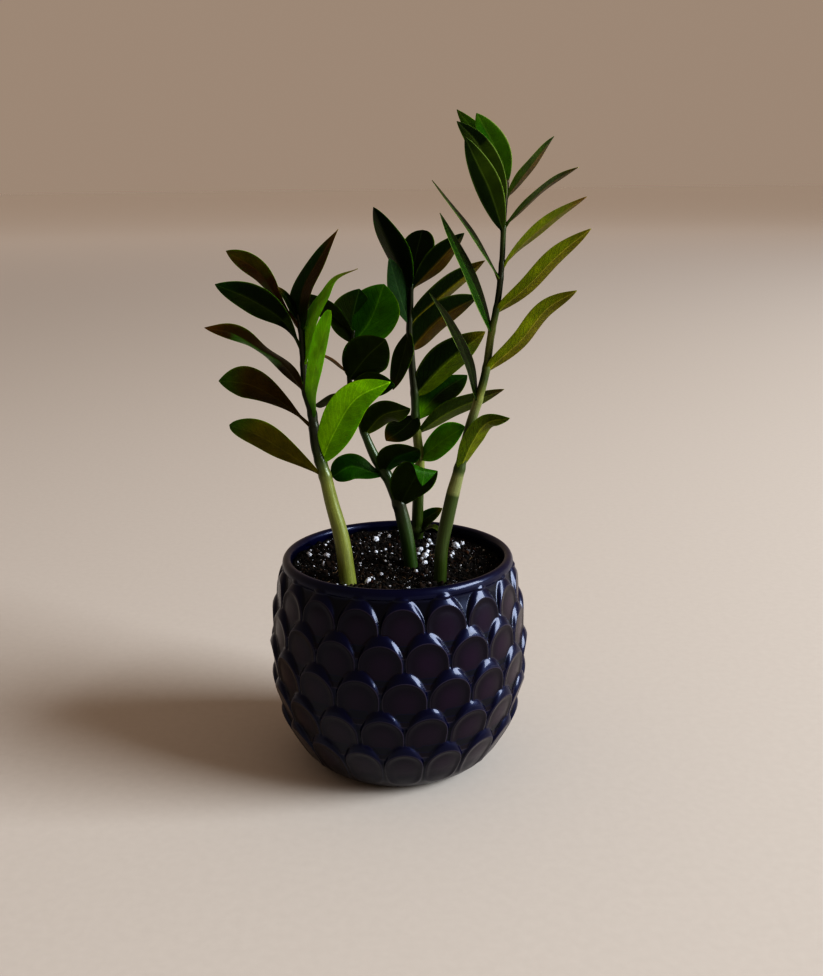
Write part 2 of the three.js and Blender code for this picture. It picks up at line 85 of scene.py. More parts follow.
SCALES_PER_ROW = 18
FIRST_SCALE_ANGLE = 1.9     # degrees to the right of the front
SCALE_TOPS = [106, 90, 72.5, 53.5, 34.5]
SCALE_HALF_ANGLE = 9.8      # degrees, at the widest place
SCALE_ARCH = 15.5           # top of the arch down to the widest place
SCALE_LENGTH = 33           # down to the point under the next row
SCALE_TAPER = [(SCALE_ARCH, 1), (0.76 * SCALE_LENGTH, 0.96), (SCALE_LENGTH, 0.4)]
SCALE_POINTEDNESS = 1.75    # 2 is a round arch, less is a more pointed one
SCALE_RELIEF = 2.45
SCALE_STEP = 0.12           # share of the relief that its edge rises by at once
SCALE_STEP_WIDTH = 0.15     # share of the slope that this takes
SCALE_ROUNDING = 2.4        # 1 is a straight slope, more is a rounder one
SCALE_SUNK_AT = 24          # below the top the face has sunk into the wall here
SCALE_FALL = 0.84           # share of the relief lost on the way down to there
SCALE_FILLET = 0.2
SCALE_SHIFT = 0.35          # degrees that a scale may lie aside, by chance
SCALE_LIFT = 0.5            # how far it may lie up or down
SCALE_LEAN = 0.07           # how far it may lean, as a share of its half width
FACE_CENTRE = 15.4          # below the top of the scale
FACE_HEIGHT = 9.8           # from the centre of the face up to its edge
FACE_DROP = 12.8            # from the centre of the face down to its edge
FACE_WIDTH = 0.92           # against the scale's own width
FACE_DISH = 0.42            # how far the face lies inside its border
FACE_DISH_SPAN = (0.97, 0.25)   # where the dish starts and over what width, as shares of the face
FACE_BORDER = 0.28          # how far the border stands up
FACE_BORDER_WIDTH = 0.06    # as a share of the face

GLAZE_SLOPE = (5, 7, 38)    # round the faces and on the lip
GLAZE_FACE = (18, 6, 18)    # towards the edge of a face, and low on the pot
GLAZE_PAINTED_SHEEN = (31, 14, 31)     # painted sheen in the middle of a face
GLAZE_THIN_EDGE_AND_HIGHLIGHT = (92, 82, 92)   # thin glaze and a painted highlight on the border of a face
GLAZE_POOL_AND_SHADE = (3, 3, 12)     # thick glaze and painted shade between the scales
CLAY_TONES = (120, 78, 58), (166, 116, 88)

# ---------------- soil sizes

SOIL_LEVEL = 102.5
SOIL_MOUND = 1.8
SOIL_ROUGHNESS = 0.45
SOIL_EDGE = 52.3
SOIL_RINGS = 100
SOIL_COLUMNS = 300
SOIL_TONE = (17, 12, 9)
# Radius and height of the block of soil under its surface, from its floor up.
SOIL_SIDE = [(36, 8), (54, 34), (57, 64), (53.2, 90), (SOIL_EDGE, 99)]
# Unevenness of the surface: height, features to the mm, and the slice of noise it is cut from.
SOIL_GRAIN = [(1.1, 0.45, 0), (0.8, 1.3, 5)]

BROWNS = [(20, 14, 10), (27, 19, 13), (12, 9, 7), (36, 25, 17), (50, 38, 28), (24, 19, 16)]
BARKS = [(52, 30, 19), (38, 25, 17), (66, 44, 28)]
GREYS = [(96, 92, 86), (70, 64, 54), (140, 136, 128)]
WHITE = (255, 255, 255)
PERLITE_TONES = (96, 98, 104), (206, 208, 216)
SOIL_MARGIN = 1.0           # loose matter keeps this far from the edge
LOOSE_RISE = 0.5            # the most that a piece's centre is above the soil, in its radii
# Loose matter on the soil: how many pieces, their radii, how far they sink in, how rough and
# how flat they are, how often the triangles of their ball are cut in four, and their colours.
LOOSE_MATTER = [
    (2600, (0.35, 1.25), 0.3, 0.25, (0.55, 1.0), 0, BROWNS),
    (260, (1.1, 2.0), 0.3, 0.16, (0.55, 1.0), 1, BROWNS[:4]),
    (90, (1.4, 3.0), 0.3, 0.1, (0.12, 0.6), 0, BARKS),
    (1500, (0.16, 0.4), 0.0, 0.2, (0.55, 1.0), 0, GREYS),
]
ROOT_FIBRES = 34
ROOT_JOINTS = 7
ROOT_STEP = 1.3
ROOT_RADIUS = 0.2
ROOT_REACH = 44
ROOT_LIFT = (0.2, 1.1)
ROOT_BEND = 0.7             # the most that it turns at a joint, in radians
ROOT_TONES = (66, 42, 30), (52, 40, 30), (100, 82, 62)
# White grains: as for loose matter, without the colours.
WHITE_MATTER = [
    (150, (0.4, 1.0), 0.25, 0.22, (0.58, 1.0), 2),
    (900, (0.16, 0.42), 0.0, 0.25, (0.6, 1.0), 0),
]
LARGE_GRAIN_RISE = 0.35     # how far its centre is above the soil, as a share of its radius
# The larger white grains: x, y, radius.
LARGE_GRAINS = [
    (30.6, 25.6, 2.7), (28, 12, 1.7), (34, 29, 1.6), (27, 10, 1.2), (16.8, 34.4, 1.9), (15.4, 25.1, 1.7),
    (11.6, 18.8, 1.9), (15.6, 17.2, 1.5), (14, 10.6, 2), (12.3, 6, 1.4), (13.4, 0.8, 1.6), (8.9, -11.8, 1.2),
    (-11.3, 34.1, 1.9), (-11.1, 16.2, 1.5), (-10, 42, 1.1), (-4.4, 40.6, 1.5), (-6.4, 3.7, 1.3),
    (-3.9, -2.7, 1.1), (-8.2, -14.6, 1.2), (-37.6, 23, 1.6), (-36, 11.3, 2), (-45, 11.3, 1.7),
    (-36.8, -1.4, 1.5), (-14.4, -25.7, 2.1), (-13, -20, 1.3), (15.3, -29, 1.2), (-9, 47, 1.2),
    (13, 28, 1.3), (17.5, 28.5, 1.4), (10.6, 13.6, 1.2), (16.8, 5.5, 1.2),
]

# ---------------- leafy stems

TO_VIEWER = Vector((0, -0.98, 0.2))
UP_LEFT = Vector((-0.62, 0, 0.78))      # the half of a blade on this side is its first
STEM_BURIED_TO = 84
STEM_SIDES = 20
STEM_STEP = 1.1             # between the rings of a stalk
# Where a leaflet leaves, the stalk swells and narrows: by what share of its radius, how far
# above the place, and over what height.
STEM_SWELLINGS = [(0.1, 1, 1.6), (-0.04, 4, 1.2)]
STEM_SWELLING_LIMITS = (-0.06, 0.14)
BLADE_STATIONS = 44
BLADE_COLUMNS = 18
BLADE_CROWDING = 0.05       # draws the stations towards the two ends
BLADE_THICKNESS = 0.55
BLADE_THINNING = 0.45       # share of the thickness lost towards the tip
BLADE_TIP = 0.12            # half the width at the very tip
BLADE_WAVES = 9
FOLD_ROUNDING = 0.02        # rounds the fold along the midrib
RIB_GROOVE = 0.16
RIB_GROOVE_WIDTH = 0.5
RIB_BELOW = 1.6             # how far the rib stands out below, against the groove
PETIOLE_WIDTH = 2.4
PETIOLE_THICKNESS = 0.8
PETIOLE_SHARE = 0.1         # of the length of a leaflet
SIDE_VEIN_GAP = 3.6
HIDDEN_TONES = {1: "green", -1: "moss"}     # of an upper and of an under side that faces away
HIDDEN_SHADE = 0.8
BASE_END = 0.4              # shares of the length: the tone of the base ends here,
TIP_START = 0.72            # and that of the tip starts here
STRIP_BLUR = 0.06
EDGE_START = 0.9            # shares of the half width: the border starts here,
EDGE_BLUR = 0.07            # and is plain after so much more
EDGE_TONE = "moss"
PLAIN_EDGE = 0.8            # how much of its tone the border takes
FAINT_EDGE = 0.25

# Tones of leaflets and stalks. A leaflet's tones hold painted light and shade as well as its own colour:
# "lit" and "vivid" paint the glow of lit and backlit leaflets, "sheen" a painted sheen, "pale" a painted
# highlight on edges that catch the light, and halves in shadow take the darker tones.
TONES = {
    "deep": (21, 31, 6),
    "dark": (44, 56, 12),
    "shade": (28, 55, 8),
    "green": (44, 88, 10),
    "leaf": (66, 118, 14),
    "vivid": (122, 182, 8),
    "lit": (130, 184, 18),
    "lime": (104, 158, 12),
    "moss": (92, 99, 15),
    "olive": (84, 78, 9),
    "umber": (62, 47, 8),
    "brown": (90, 62, 15),
    "murk": (68, 80, 12),
    "khaki": (89, 85, 15),
    "sheen": (34, 56, 30),
    "tip": (52, 78, 14),
    # painted highlight for leaflet edges that catch the light
    "pale": (104, 122, 62),
    "cream": (108, 112, 70),
    "fresh": (105, 110, 53),
    "stem": (40, 60, 18),
    "stalk": (50, 63, 22),
    "bark": (30, 33, 10),
}
PALE_RIB = (168, 196, 112)


def leaflet(at, rib, width, facing, belly, shoulder, tones, **more):
    """A leaflet that grows from its stem at the height `at`.

    `rib` gives the places that its midrib then passes, up to its tip. `width` is across its widest
    place, at the share `belly` of its length. `facing` turns it on its own length, in degrees: 0
    shows its upper face to the viewer, 90 turns the upper face to the top of the stem, and past 90
    the underside shows. It is negative where the leaflet grows to the left. A small `shoulder`
    makes a full base, and a small `taper` a full tip. `tones` are those of its left or upper half,
    of its other half and of its tip, `base` that of its base, and `edge` that of its border, which
    is plain on the other half. The tones hold painted light and shade as well as the leaflet's own
    colour: a half in shade has a darker tone, a lit or backlit half a paler one, and the edge tone
    "pale" is a painted highlight where the edge catches the light. `strip` is a start, an end and a
    tone for a part of that half.
    `ribs` and `veins` say how plainly these show."""
    usual = dict(taper=0.85, fold=0.1, wave=0.05, ribs=0.25, veins=0.4, pale_veins=False,
                 curls=False, base=None, edge=None, strip=None)
    return dict(usual, at=at, rib=rib, width=width, facing=facing, belly=belly, shoulder=shoulder,
                tones=tones.split(), **more)


# A path is the centre line of a stalk from the soil up: x, y, z, radius. Its colours are heights
# with the tone that it has there.
LEFT_PATH = [
    (-24, -25, 103, 4.1), (-26.4, -23.3, 123, 3.8), (-31, -21.6, 142, 3.3), (-33.6, -20.6, 154, 3),
    (-37.4, -19.3, 168, 2.6), (-39, -18, 184, 2.2), (-41.6, -17, 194, 1.9), (-42.2, -15.8, 208, 1.7),
    (-43, -14.5, 222, 1.4), (-44.4, -13.9, 229, 1.1),
]
LEFT_COLOURS = [(84, "fresh"), (150, "fresh"), (160, "stalk"), (172, "bark"), (230, "bark")]
LEFT_LEAFLETS = [
    leaflet(153, [(-52, -25, 167.5), (-64, -28, 176), (-76, -30, 181)], 17.5, -138, 0.7, 1.3,
        "olive olive tip", taper=0.6),
    leaflet(176, [(-52, -20, 189), (-67, -21, 198), (-81, -22, 200)], 19, -138, 0.73, 2.4,
        "umber umber tip"),
    leaflet(192, [(-51, -17, 206), (-61, -18, 213), (-75, -18, 221.5), (-86.8, -18, 224)], 15, -118,
        0.42, 1.2, "umber umber brown", taper=0.7, wave=0.3, strip=(0.3, 0.8, "leaf")),
    leaflet(212, [(-50, -18, 226), (-65, -21, 237), (-80, -24, 244)], 17, -138, 0.62, 2,
        "deep dark shade"),
    leaflet(222, [(-52, -14, 235), (-62, -13, 249), (-76, -12, 258)], 13.5, -132, 0.72, 2.6,
        "olive brown olive"),
    leaflet(226, [(-48, -15, 235), (-53, -16, 242)], 8, -60, 0.5, 1, "deep deep umber"),
    leaflet(160, [(-28.3, -25, 175.7), (-17.6, -31, 192.5), (-2, -34, 200.4)], 19, 20, 0.45, 0.7,
        "lit lime lime", ribs=0.9, veins=0.8, pale_veins=True),
    leaflet(182, [(-38.4, -24, 195), (-35.5, -28, 209), (-31.5, -33, 222), (-27.7, -37, 233)], 15.5, 57,
        0.72, 0.35, "vivid vivid vivid", taper=0.5, pale_veins=True, base="leaf"),
    leaflet(205, [(-36.8, -19, 228), (-31, -20, 238), (-26, -21, 245.5), (-15.9, -22, 250)], 14, 60,
        0.36, 0.8, "lit vivid brown", taper=1.4),
    leaflet(222, [(-43.2, -14, 232), (-41, -13, 241), (-33.5, -11.5, 254), (-24.8, -10, 267)], 17, 50,
        0.33, 0.5, "shade umber brown", taper=1.1, base="shade"),
]
FRONT_PATH = [
    (6.6, -3, 103, 3.5), (4.9, -2, 116, 3.5), (3, -1.2, 126, 3.5), (1, -0.6, 134, 3.2),
    (-3.6, 0.3, 146, 2.8), (-9.6, 1.2, 156, 2.5), (-14, 2, 166, 2), (-18, 3, 178, 1.7),
    (-21.8, 4.2, 193, 1.3), (-21.6, 4.8, 200, 1.2), (-20.5, 5.6, 211, 1.1), (-19.6, 6.4, 219, 1),
]
FRONT_COLOURS = [
    (84, "stem"), (122, "stem"), (134, "bark"), (146, "stem"), (168, "stem"), (180, "bark"),
    (220, "bark"),
]
FRONT_LEAFLETS = [
    leaflet(133, [(7, -12, 147), (12, -22.5, 157.5), (13, -25.5, 157), (12, -27.5, 150)], 21, 165, 0.5,
        0.7, "dark dark green", ribs=0.3, curls=True),
    leaflet(150, [(-1, -6, 158), (11, -20, 166)], 18, 140, 0.45, 0.6, "dark green dark", ribs=0.4),
    leaflet(148, [(-12, -2, 150.5), (-22, -4, 154), (-31, -6, 149.5)], 14, -26, 0.74, 1.2,
        "shade green shade", taper=0.5),
    leaflet(169, [(-6, -7, 180), (7, -18, 185)], 17, 138, 0.42, 0.6, "dark murk dark", ribs=0.6),
    leaflet(191, [(-12, 2, 193), (0, 0, 193)], 15, 140, 0.5, 0.7, "dark dark green"),
    leaflet(196, [(-13, -5, 208), (-4, -14, 217)], 22, 165, 0.5, 0.6, "dark dark dark", ribs=0.4),
    leaflet(213, [(-20, 10, 224), (-16.5, 13, 238)], 23, -15, 0.45, 0.6, "dark shade shade", ribs=0.5),
    leaflet(212, [(-11.5, 10, 223), (-4.5, 14, 240)], 25, 8, 0.6, 0.6, "green leaf leaf", ribs=0.5),
    leaflet(198, [(-31, -1, 206), (-41, -6, 212)], 10, -80, 0.5, 1, "brown umber umber"),
    leaflet(182, [(-30, 10, 184), (-40, 16, 181)], 12, -60, 0.55, 1, "dark dark dark"),
    leaflet(218, [(-33, 5, 229), (-49, 4, 237)], 14, -125, 0.5, 1, "dark dark umber"),
]
BACK_PATH = [
    (10.5, 38, 103, 3.1), (11, 37.2, 120, 3), (11.6, 36, 134, 2.8), (12.3, 35.5, 147, 2.5),
    (11.3, 34.9, 158, 2.4), (10.3, 34.2, 169, 2.2), (10.1, 33.6, 180, 2.1), (9.3, 33, 190, 1.9),
    (8.2, 32, 205, 1.9), (7.6, 31.4, 216, 1.5), (8.5, 30.5, 228, 1.3), (8.8, 30, 239, 1.1),
]
BACK_COLOURS = [
    (84, "stalk"), (138, "stalk"), (145, "fresh"), (162, "fresh"), (166, "stalk"), (178, "stem"),
    (186, "bark"), (240, "bark"),
]
BACK_LEAFLETS = [
    leaflet(108, [(14, 37, 114), (24, 36, 121)], 9, 35, 0.45, 0.8, "shade dark olive"),
    leaflet(106.5, [(19, 31, 112), (24, 26, 109)], 7, 75, 0.5, 1, "dark dark dark"),
    leaflet(236, [(-1, 24, 257), (-9, 18, 276)], 18, -128, 0.5, 0.8, "dark deep deep", fold=0.3),
    leaflet(237, [(11, 37, 250), (15, 46, 264)], 18, 25, 0.66, 0.9, "deep deep deep", taper=0.55),
    leaflet(236, [(22, 29, 249), (35, 28, 263)], 15, 132, 0.5, 0.9, "deep umber deep", fold=0.3),
    leaflet(218, [(3, 27, 233), (-2, 21, 252)], 14, -40, 0.5, 1, "sheen sheen sheen"),
    leaflet(219, [(26, 34, 234), (46, 38, 249)], 16, 125, 0.4, 0.55, "deep olive umber", fold=0.3,
        veins=0.6),
    leaflet(206, [(24, 37, 221), (43, 42, 231)], 19, 135, 0.4, 0.5, "deep umber deep", fold=0.3),
    leaflet(182, [(25, 34, 197), (46, 34, 214)], 21, 142, 0.45, 0.5, "deep murk olive", fold=0.3,
        veins=0.6),
    leaflet(169, [(23, 43, 181), (38, 52, 189)], 19, 40, 0.5, 0.8, "shade deep shade", base="vivid"),
    leaflet(162, [(28, 35, 173), (56, 36, 184)], 17, 123, 0.4, 0.8, "dark murk umber", ribs=0.5,
        veins=0.6),
    leaflet(148, [(25, 27, 160), (35, 20, 168)], 18, 42, 0.5, 0.8, "lime lime leaf", ribs=0.4),
    leaflet(171, [(4.3, 28, 166), (-5, 22, 161)], 18, -42, 0.5, 0.6, "deep deep umber"),
    leaflet(215, [(4.4, 28, 203), (-1, 22, 187)], 13, -40, 0.45, 0.7, "dark dark umber"),
]
RIGHT_PATH = [
    (20.2, -23.5, 103, 3.2), (21.2, -22.2, 118, 3.2), (23.8, -20.9, 131, 3.3), (27, -19.8, 145, 3.2),
    (29.2, -19, 153, 2.8), (31, -18.3, 160, 2.5), (35, -16.8, 176, 2.3), (39.5, -15.5, 190, 2.1),
    (42.6, -14.4, 202, 1.9), (45, -12.8, 218, 1.7), (48.2, -11.3, 234, 1.5), (50.1, -9.5, 252, 1.3),
    (51, -7.5, 272, 1.2), (52.4, -6, 288, 1),
]
RIGHT_COLOURS = [
    (84, "stalk"), (143, "stalk"), (144.5, "cream"), (152, "cream"), (155, "stalk"), (176, "stalk"),
    (184, "cream"), (190, "fresh"), (198, "stalk"), (218, "fresh"), (228, "stalk"), (236, "bark"),
    (250, "bark"), (262, "stalk"), (272, "bark"), (288, "umber"),
]
RIGHT_LEAFLETS = [
    leaflet(155, [(36, -25, 171), (42, -29, 180), (52, -34, 183)], 14, 132, 0.52, 0.55,
        "murk moss murk", ribs=0.6, veins=0.5),
    leaflet(202, [(58, -17, 216), (70, -20, 231), (83, -22, 239)], 14, 128, 0.58, 0.4,
        "moss khaki olive", ribs=0.7, veins=0.45, edge="brown"),
    leaflet(229, [(61, -12, 240), (76, -13, 255), (90, -14, 266)], 13, 128, 0.54, 0.42,
        "moss khaki olive", ribs=0.7, veins=0.45, edge="brown"),
    leaflet(249, [(59, -9, 259), (73, -7, 270), (89, -6, 280)], 12, 112, 0.5, 0.8, "moss khaki brown",
        ribs=0.5, veins=0.4),
    leaflet(267, [(62, -7, 277.5), (73, -5, 286.5), (85, -4, 293)], 11, 104, 0.45, 0.9,
        "dark umber umber"),
    leaflet(280, [(60, -2, 289.5), (75, 6, 307)], 11, 114, 0.35, 0.8, "dark umber deep"),
    # From here on the edge tone "pale" is a painted highlight where the edge catches the light, and the
    # first three of these take the darkest tones as painted shade.
    leaflet(187, [(34, -19, 206), (26, -21, 224), (16, -24, 239)], 14, -66, 0.45, 0.6, "deep deep deep",
        fold=0.06, edge="pale"),
    leaflet(219, [(39, -16, 236), (29.5, -20, 256), (21, -24, 274)], 15, -62, 0.45, 0.6,
        "deep shade deep", fold=0.06, edge="pale"),
    leaflet(243, [(39.5, -12, 259), (27.5, -13, 275.5), (18, -14, 288)], 13, -72, 0.5, 0.8,
        "deep shade dark", fold=0.06, edge="pale"),
    leaflet(265, [(43.5, -16, 284), (35.5, -23, 299), (32, -26, 306)], 12, -2, 0.5, 0.7,
        "deep dark deep", veins=0.05, edge="pale"),
    leaflet(277, [(46, -10, 291), (37, -14, 305), (29, -16, 313)], 11, -2, 0.5, 0.7, "deep dark deep",
        veins=0.05, edge="pale"),
    leaflet(283, [(44, -3, 301), (30, 2, 319)], 9, -5, 0.5, 0.8, "tip tip dark", veins=0.1),
    leaflet(286, [(47.5, -3, 301), (38.5, -4, 317)], 13, -4, 0.5, 0.7, "green tip tip", veins=0.05,
        edge="pale"),
]
# Each stem: its name, path, colours and leaflets.
STEMS = [
    ("left", LEFT_PATH, LEFT_COLOURS, LEFT_LEAFLETS),
    ("front", FRONT_PATH, FRONT_COLOURS, FRONT_LEAFLETS),
    ("back", BACK_PATH, BACK_COLOURS, BACK_LEAFLETS),
    ("right", RIGHT_PATH, RIGHT_COLOURS, RIGHT_LEAFLETS),
]

# ---------------- camera and light

CAMERA_PLACE = (0, -0.547, 0.2869)  # metres
CAMERA_YAW = 0.77           # degrees to the right
CAMERA_PITCH = 14.85        # degrees below level
CAMERA_ROLL = -0.67         # degrees
FOCAL_LENGTH = 1150         # pixels of the photo
PHOTO_HEIGHT = 976          # pixels
SENSOR_SIZE = 36
WINDOW_TURN = 73.5          # degrees from the front to the right
WINDOW_RISE = 24            # degrees above the floor
WINDOW_WIDTH = 33           # degrees, as seen from the pot
WINDOW_HEIGHT = 27
WINDOW_DISTANCE = 4         # metres
WINDOW_AIM = 0.15           # metres above the floor
WINDOW_RADIANCE = 18
WINDOW_COLOUR = (0.87, 0.94, 1.0)
ROOM_TONE = (255, 228, 205)
ROOM_STRENGTH = 0.29
FLOOR_RADIUS = 60000
FLOOR_SIDES = 96
FLOOR_DROP = 0.1            # below the pot
FLOOR_TONES = (193, 185, 177), (200, 192, 184), (253, 252, 251)     # two near ones, and one far away, painted paler to make up for the window's light falling off

# ---------------- making meshes


def linear(tone):
    """A 0 to 255 colour, or the name of one, as the linear values that shaders use."""
    values = TONES[tone] if isinstance(tone, str) else tone
    return np.array([(v / 255) ** 2.2 for v in values])


def placed(name, data):
    """An object with this data, in the scene."""
    item = bpy.data.objects.new(name, data)
    bpy.context.scene.collection.objects.link(item)
    return item


def make_object(name, points, faces, material, tints=None, **vectors):
    """A smooth mesh object from points in mm, with a tint and named vectors for each point."""
    mesh = bpy.data.meshes.new(name)
    mesh.from_pydata((np.asarray(points) * MM).tolist(), [], [list(map(int, face)) for face in faces])
    if tints is not None:
        opaque = np.column_stack([tints, np.ones(len(points))]).astype(np.float32)
        mesh.attributes.new("tint", "FLOAT_COLOR", "POINT").data.foreach_set("color", opaque.ravel())
    for key, values in vectors.items():
        attribute = mesh.attributes.new(key, "FLOAT_VECTOR", "POINT")
        attribute.data.foreach_set("vector", np.asarray(values, dtype=np.float32).ravel())
    mesh.polygons.foreach_set("use_smooth", np.ones(len(mesh.polygons), dtype=bool))
    mesh.materials.append(material)
    mesh.update()
    return placed(name, mesh)


def ring_faces(rings, columns, closed=True):
    """Quads that join rings of equally many points, each ring closed on itself or not."""
    faces = []
    for r in range(rings - 1):
        for c in range(columns if closed else columns - 1):
            a = r * columns + c
            b = r * columns + (c + 1) % columns
            faces.append((a, b, b + columns, a + columns))
    return faces


def capped_faces(rings, columns):
    """The same for closed rings, with one face more over each end."""
    last = (rings - 1) * columns
    ends = [tuple(range(columns - 1, -1, -1)), tuple(range(last, last + columns))]
    return ring_faces(rings, columns) + ends


def on_circle(radius, turn):
    """x and y at a radius and a turn in radians, from the front to the viewer's right."""
    return radius * np.sin(turn), -radius * np.cos(turn)


def evenly_round(count):
    return np.linspace(0, FULL_TURN, count, endpoint=False)


def joined(parts):
    """Parts that each have points, faces and values per point, made into one."""
    faces = []
    start = 0
    for part in parts:
        faces += [tuple(i + start for i in face) for face in part[1]]
        start += len(part[0])
    points, _, *values = zip(*parts)
    return np.concatenate(points), faces, *map(np.concatenate, values)


def smooth_path(points, per_span=24):
    """Points along the centripetal Catmull-Rom curve through the given points."""
    points = np.asarray(points, dtype=float)
    ends = [2 * points[0] - points[1], *points, 2 * points[-1] - points[-2]]
    path = []
    for p0, p1, p2, p3 in zip(ends, ends[1:], ends[2:], ends[3:]):
        d0, d1, d2 = (np.linalg.norm(b - a) ** 0.5 for a, b in ((p0, p1), (p1, p2), (p2, p3)))
        leave = ((p1 - p0) / d0 - (p2 - p0) / (d0 + d1) + (p2 - p1) / d1) * d1
        arrive = ((p2 - p1) / d1 - (p3 - p1) / (d1 + d2) + (p3 - p2) / d2) * d1
        for t in np.arange(per_span) / per_span:
            path.append(
                p1 * (2 * t**3 - 3 * t**2 + 1) + leave * (t**3 - 2 * t**2 + t)
                + p2 * (3 * t**2 - 2 * t**3) + arrive * (t**3 - t**2)
            )
    path.append(points[-1])
    return np.array(path)


def length_of(path):
    return np.linalg.norm(np.diff(path[:, :3], axis=0), axis=1).sum()


def along_path(path, shares):
    """Points and unit directions at shares, 0 to 1, of the length of a path."""
    steps = np.linalg.norm(np.diff(path, axis=0), axis=1)
    lengths = np.concatenate([[0], np.cumsum(steps)])
    wanted = np.asarray(shares) * lengths[-1]
    reach = lengths[-1] * 0.004

    def at(places):
        return np.stack([np.interp(places, lengths, values) for values in path.T], axis=1)

    ahead = at(np.minimum(wanted + reach, lengths[-1]))
    behind = at(np.maximum(wanted - reach, 0))
    directions = (ahead - behind)[:, :3]
    directions /= np.linalg.norm(directions, axis=1, keepdims=True)
    return at(wanted), directions


def smooth_step(value):
    value = np.clip(value, 0, 1)
    return value * value * (3 - 2 * value)


# ---------------- materials


class Look:
    """A material in the making. A value is a number, a colour or the output of a node."""

    def __init__(self, name):
        self.material = bpy.data.materials.new(name)
        self.material.use_nodes = True
        self.tree = self.material.node_tree
        self.shader = self.tree.nodes["Principled BSDF"]

    def feed(self, node, values):
        """Gives sockets of a node, by name or number, their values."""
        for key, value in values.items():
            socket = node.inputs[key]
            if isinstance(value, bpy.types.NodeSocket):
                self.tree.links.new(value, socket)
            elif socket.type == "RGBA":
                socket.default_value = (*value, 1)
            else:
                socket.default_value = value

    def surface(self, values):
        """The material, once its shader has its values."""
        self.feed(self.shader, values)
        return self.material

    def node(self, kind, values, **settings):
        node = self.tree.nodes.new("ShaderNode" + kind)
        for key, value in settings.items():
            setattr(node, key, value)
        self.feed(node, values)
        return node

    def maths(self, operation, *values):
        return self.node("Math", dict(enumerate(values)), operation=operation).outputs[0]

    def mixed(self, factor, first, second, kind="MIX"):
        values = {0: factor, 6: first, 7: second}       # the numbers of its colour sockets
        return self.node("Mix", values, data_type="RGBA", blend_type=kind).outputs[2]

    def tinted(self, first, second):
        """Two colours multiplied."""
        return self.mixed(1.0, first, second, "MULTIPLY")

    def ranged(self, value, start, end, low, high, kind="SMOOTHSTEP"):
        """low where value is below start, passing smoothly to high where it is past end."""
        values = {"Value": value, "From Min": start, "From Max": end, "To Min": low, "To Max": high}
        return self.node("MapRange", values, interpolation_type=kind).outputs[0]

    def faded(self, value, start, end, high):
        """high where value is below start, fading evenly to 0 where it passes end."""
        return self.ranged(value, start, end, high, 0.0, "LINEAR")

    def point_values(self, name, output="Vector"):
        return self.node("Attribute", {}, attribute_name=name).outputs[output]

    def split(self, vector):
        """The three numbers of a vector."""
        return self.node("SeparateXYZ", {0: vector}).outputs

    def place(self):
        """Where a point lies on its object, in metres."""
        return self.node("TexCoord", {}).outputs["Object"]

    def noise(self, scale, detail=3.0, place=None):
        """Noise with `scale` features to the metre, or to the unit of `place`."""
        values = {"Vector": self.place() if place is None else place, "Scale": scale, "Detail": detail}
        return self.node("TexNoise", values).outputs["Fac"]

    def cells(self, scale, place, feature="F1"):
        """How far each point is from the centre of its cell, or from the cell's edge."""
        values = {"Vector": place, "Scale": scale}
        return self.node("TexVoronoi", values, feature=feature).outputs["Distance"]

    def shaded(self, colour, texture, gain, least):
        """The colour multiplied by a texture that is scaled by gain and raised by least."""
        return self.tinted(colour, self.maths("MULTIPLY_ADD", texture, gain, least))

    def bump(self, height, distance, strength):
        values = {"Height": height, "Distance": distance, "Strength": strength}
        return self.node("Bump", values).outputs["Normal"]


def glaze_material():
    """Navy glaze: plum on the faces of the scales with a painted sheen in their middles, pale on their edges
    from thin glaze and a painted highlight, and black between the scales from pooled glaze and painted
    shade.

    The point values "scale" say how far a place lies outside the face of its scale and how far
    inside the scale's outline, as shares of their sizes, and how high it is in mm."""
    look = Look("dark_glaze")
    beyond, inside, height = look.split(look.point_values("scale"))
    # Painted sheen: the middle of each face is lighter, as if it reflected the room.
    painted_sheen = look.ranged(beyond, -0.85, -0.1, 1.0, 0.0)
    slope = look.ranged(beyond, -0.02, 0.04, 0.0, 1.0)
    # Thin glaze and a painted highlight along the border of each face.
    from_edge = look.maths("ABSOLUTE", look.maths("SUBTRACT", beyond, 0.02))
    edge = look.ranged(from_edge, 0.005, 0.04, 0.22, 0.0)
    # Pooled glaze and painted shade in the valleys between the scales.
    pool_and_shade = look.ranged(inside, 0.005, 0.045, 0.9, 0.0)
    lip_height = look.ranged(height, 101.5, 104.5, 0.0, 1.0)
    lip = look.maths("MULTIPLY", lip_height, look.ranged(inside, 0.0, 0.03, 1.0, 0.0))
    low_down = look.ranged(height, 8.0, 24.0, 0.7, 0.0)
    colour = look.mixed(painted_sheen, linear(GLAZE_FACE), linear(GLAZE_PAINTED_SHEEN))
    colour = look.mixed(slope, colour, linear(GLAZE_SLOPE))
    colour = look.mixed(edge, colour, linear(GLAZE_THIN_EDGE_AND_HIGHLIGHT))
    colour = look.mixed(pool_and_shade, colour, linear(GLAZE_POOL_AND_SHADE))
    colour = look.mixed(lip, colour, linear(GLAZE_SLOPE))
    colour = look.mixed(low_down, colour, linear(GLAZE_FACE))
    return look.surface({
        "Base Color": look.shaded(colour, look.noise(90), 0.7, 0.65),
        "Roughness": look.maths("MULTIPLY_ADD", look.noise(260, 2.0), 0.16, 0.26),
        "Specular IOR Level": 0.24,
        "Specular Tint": (0.5, 0.6, 1.0),
        "Coat Weight": 0.29,
        "Coat Roughness": 0.06,
        "Normal": look.bump(look.noise(420, 1.0), 0.0001, 0.3),
    })


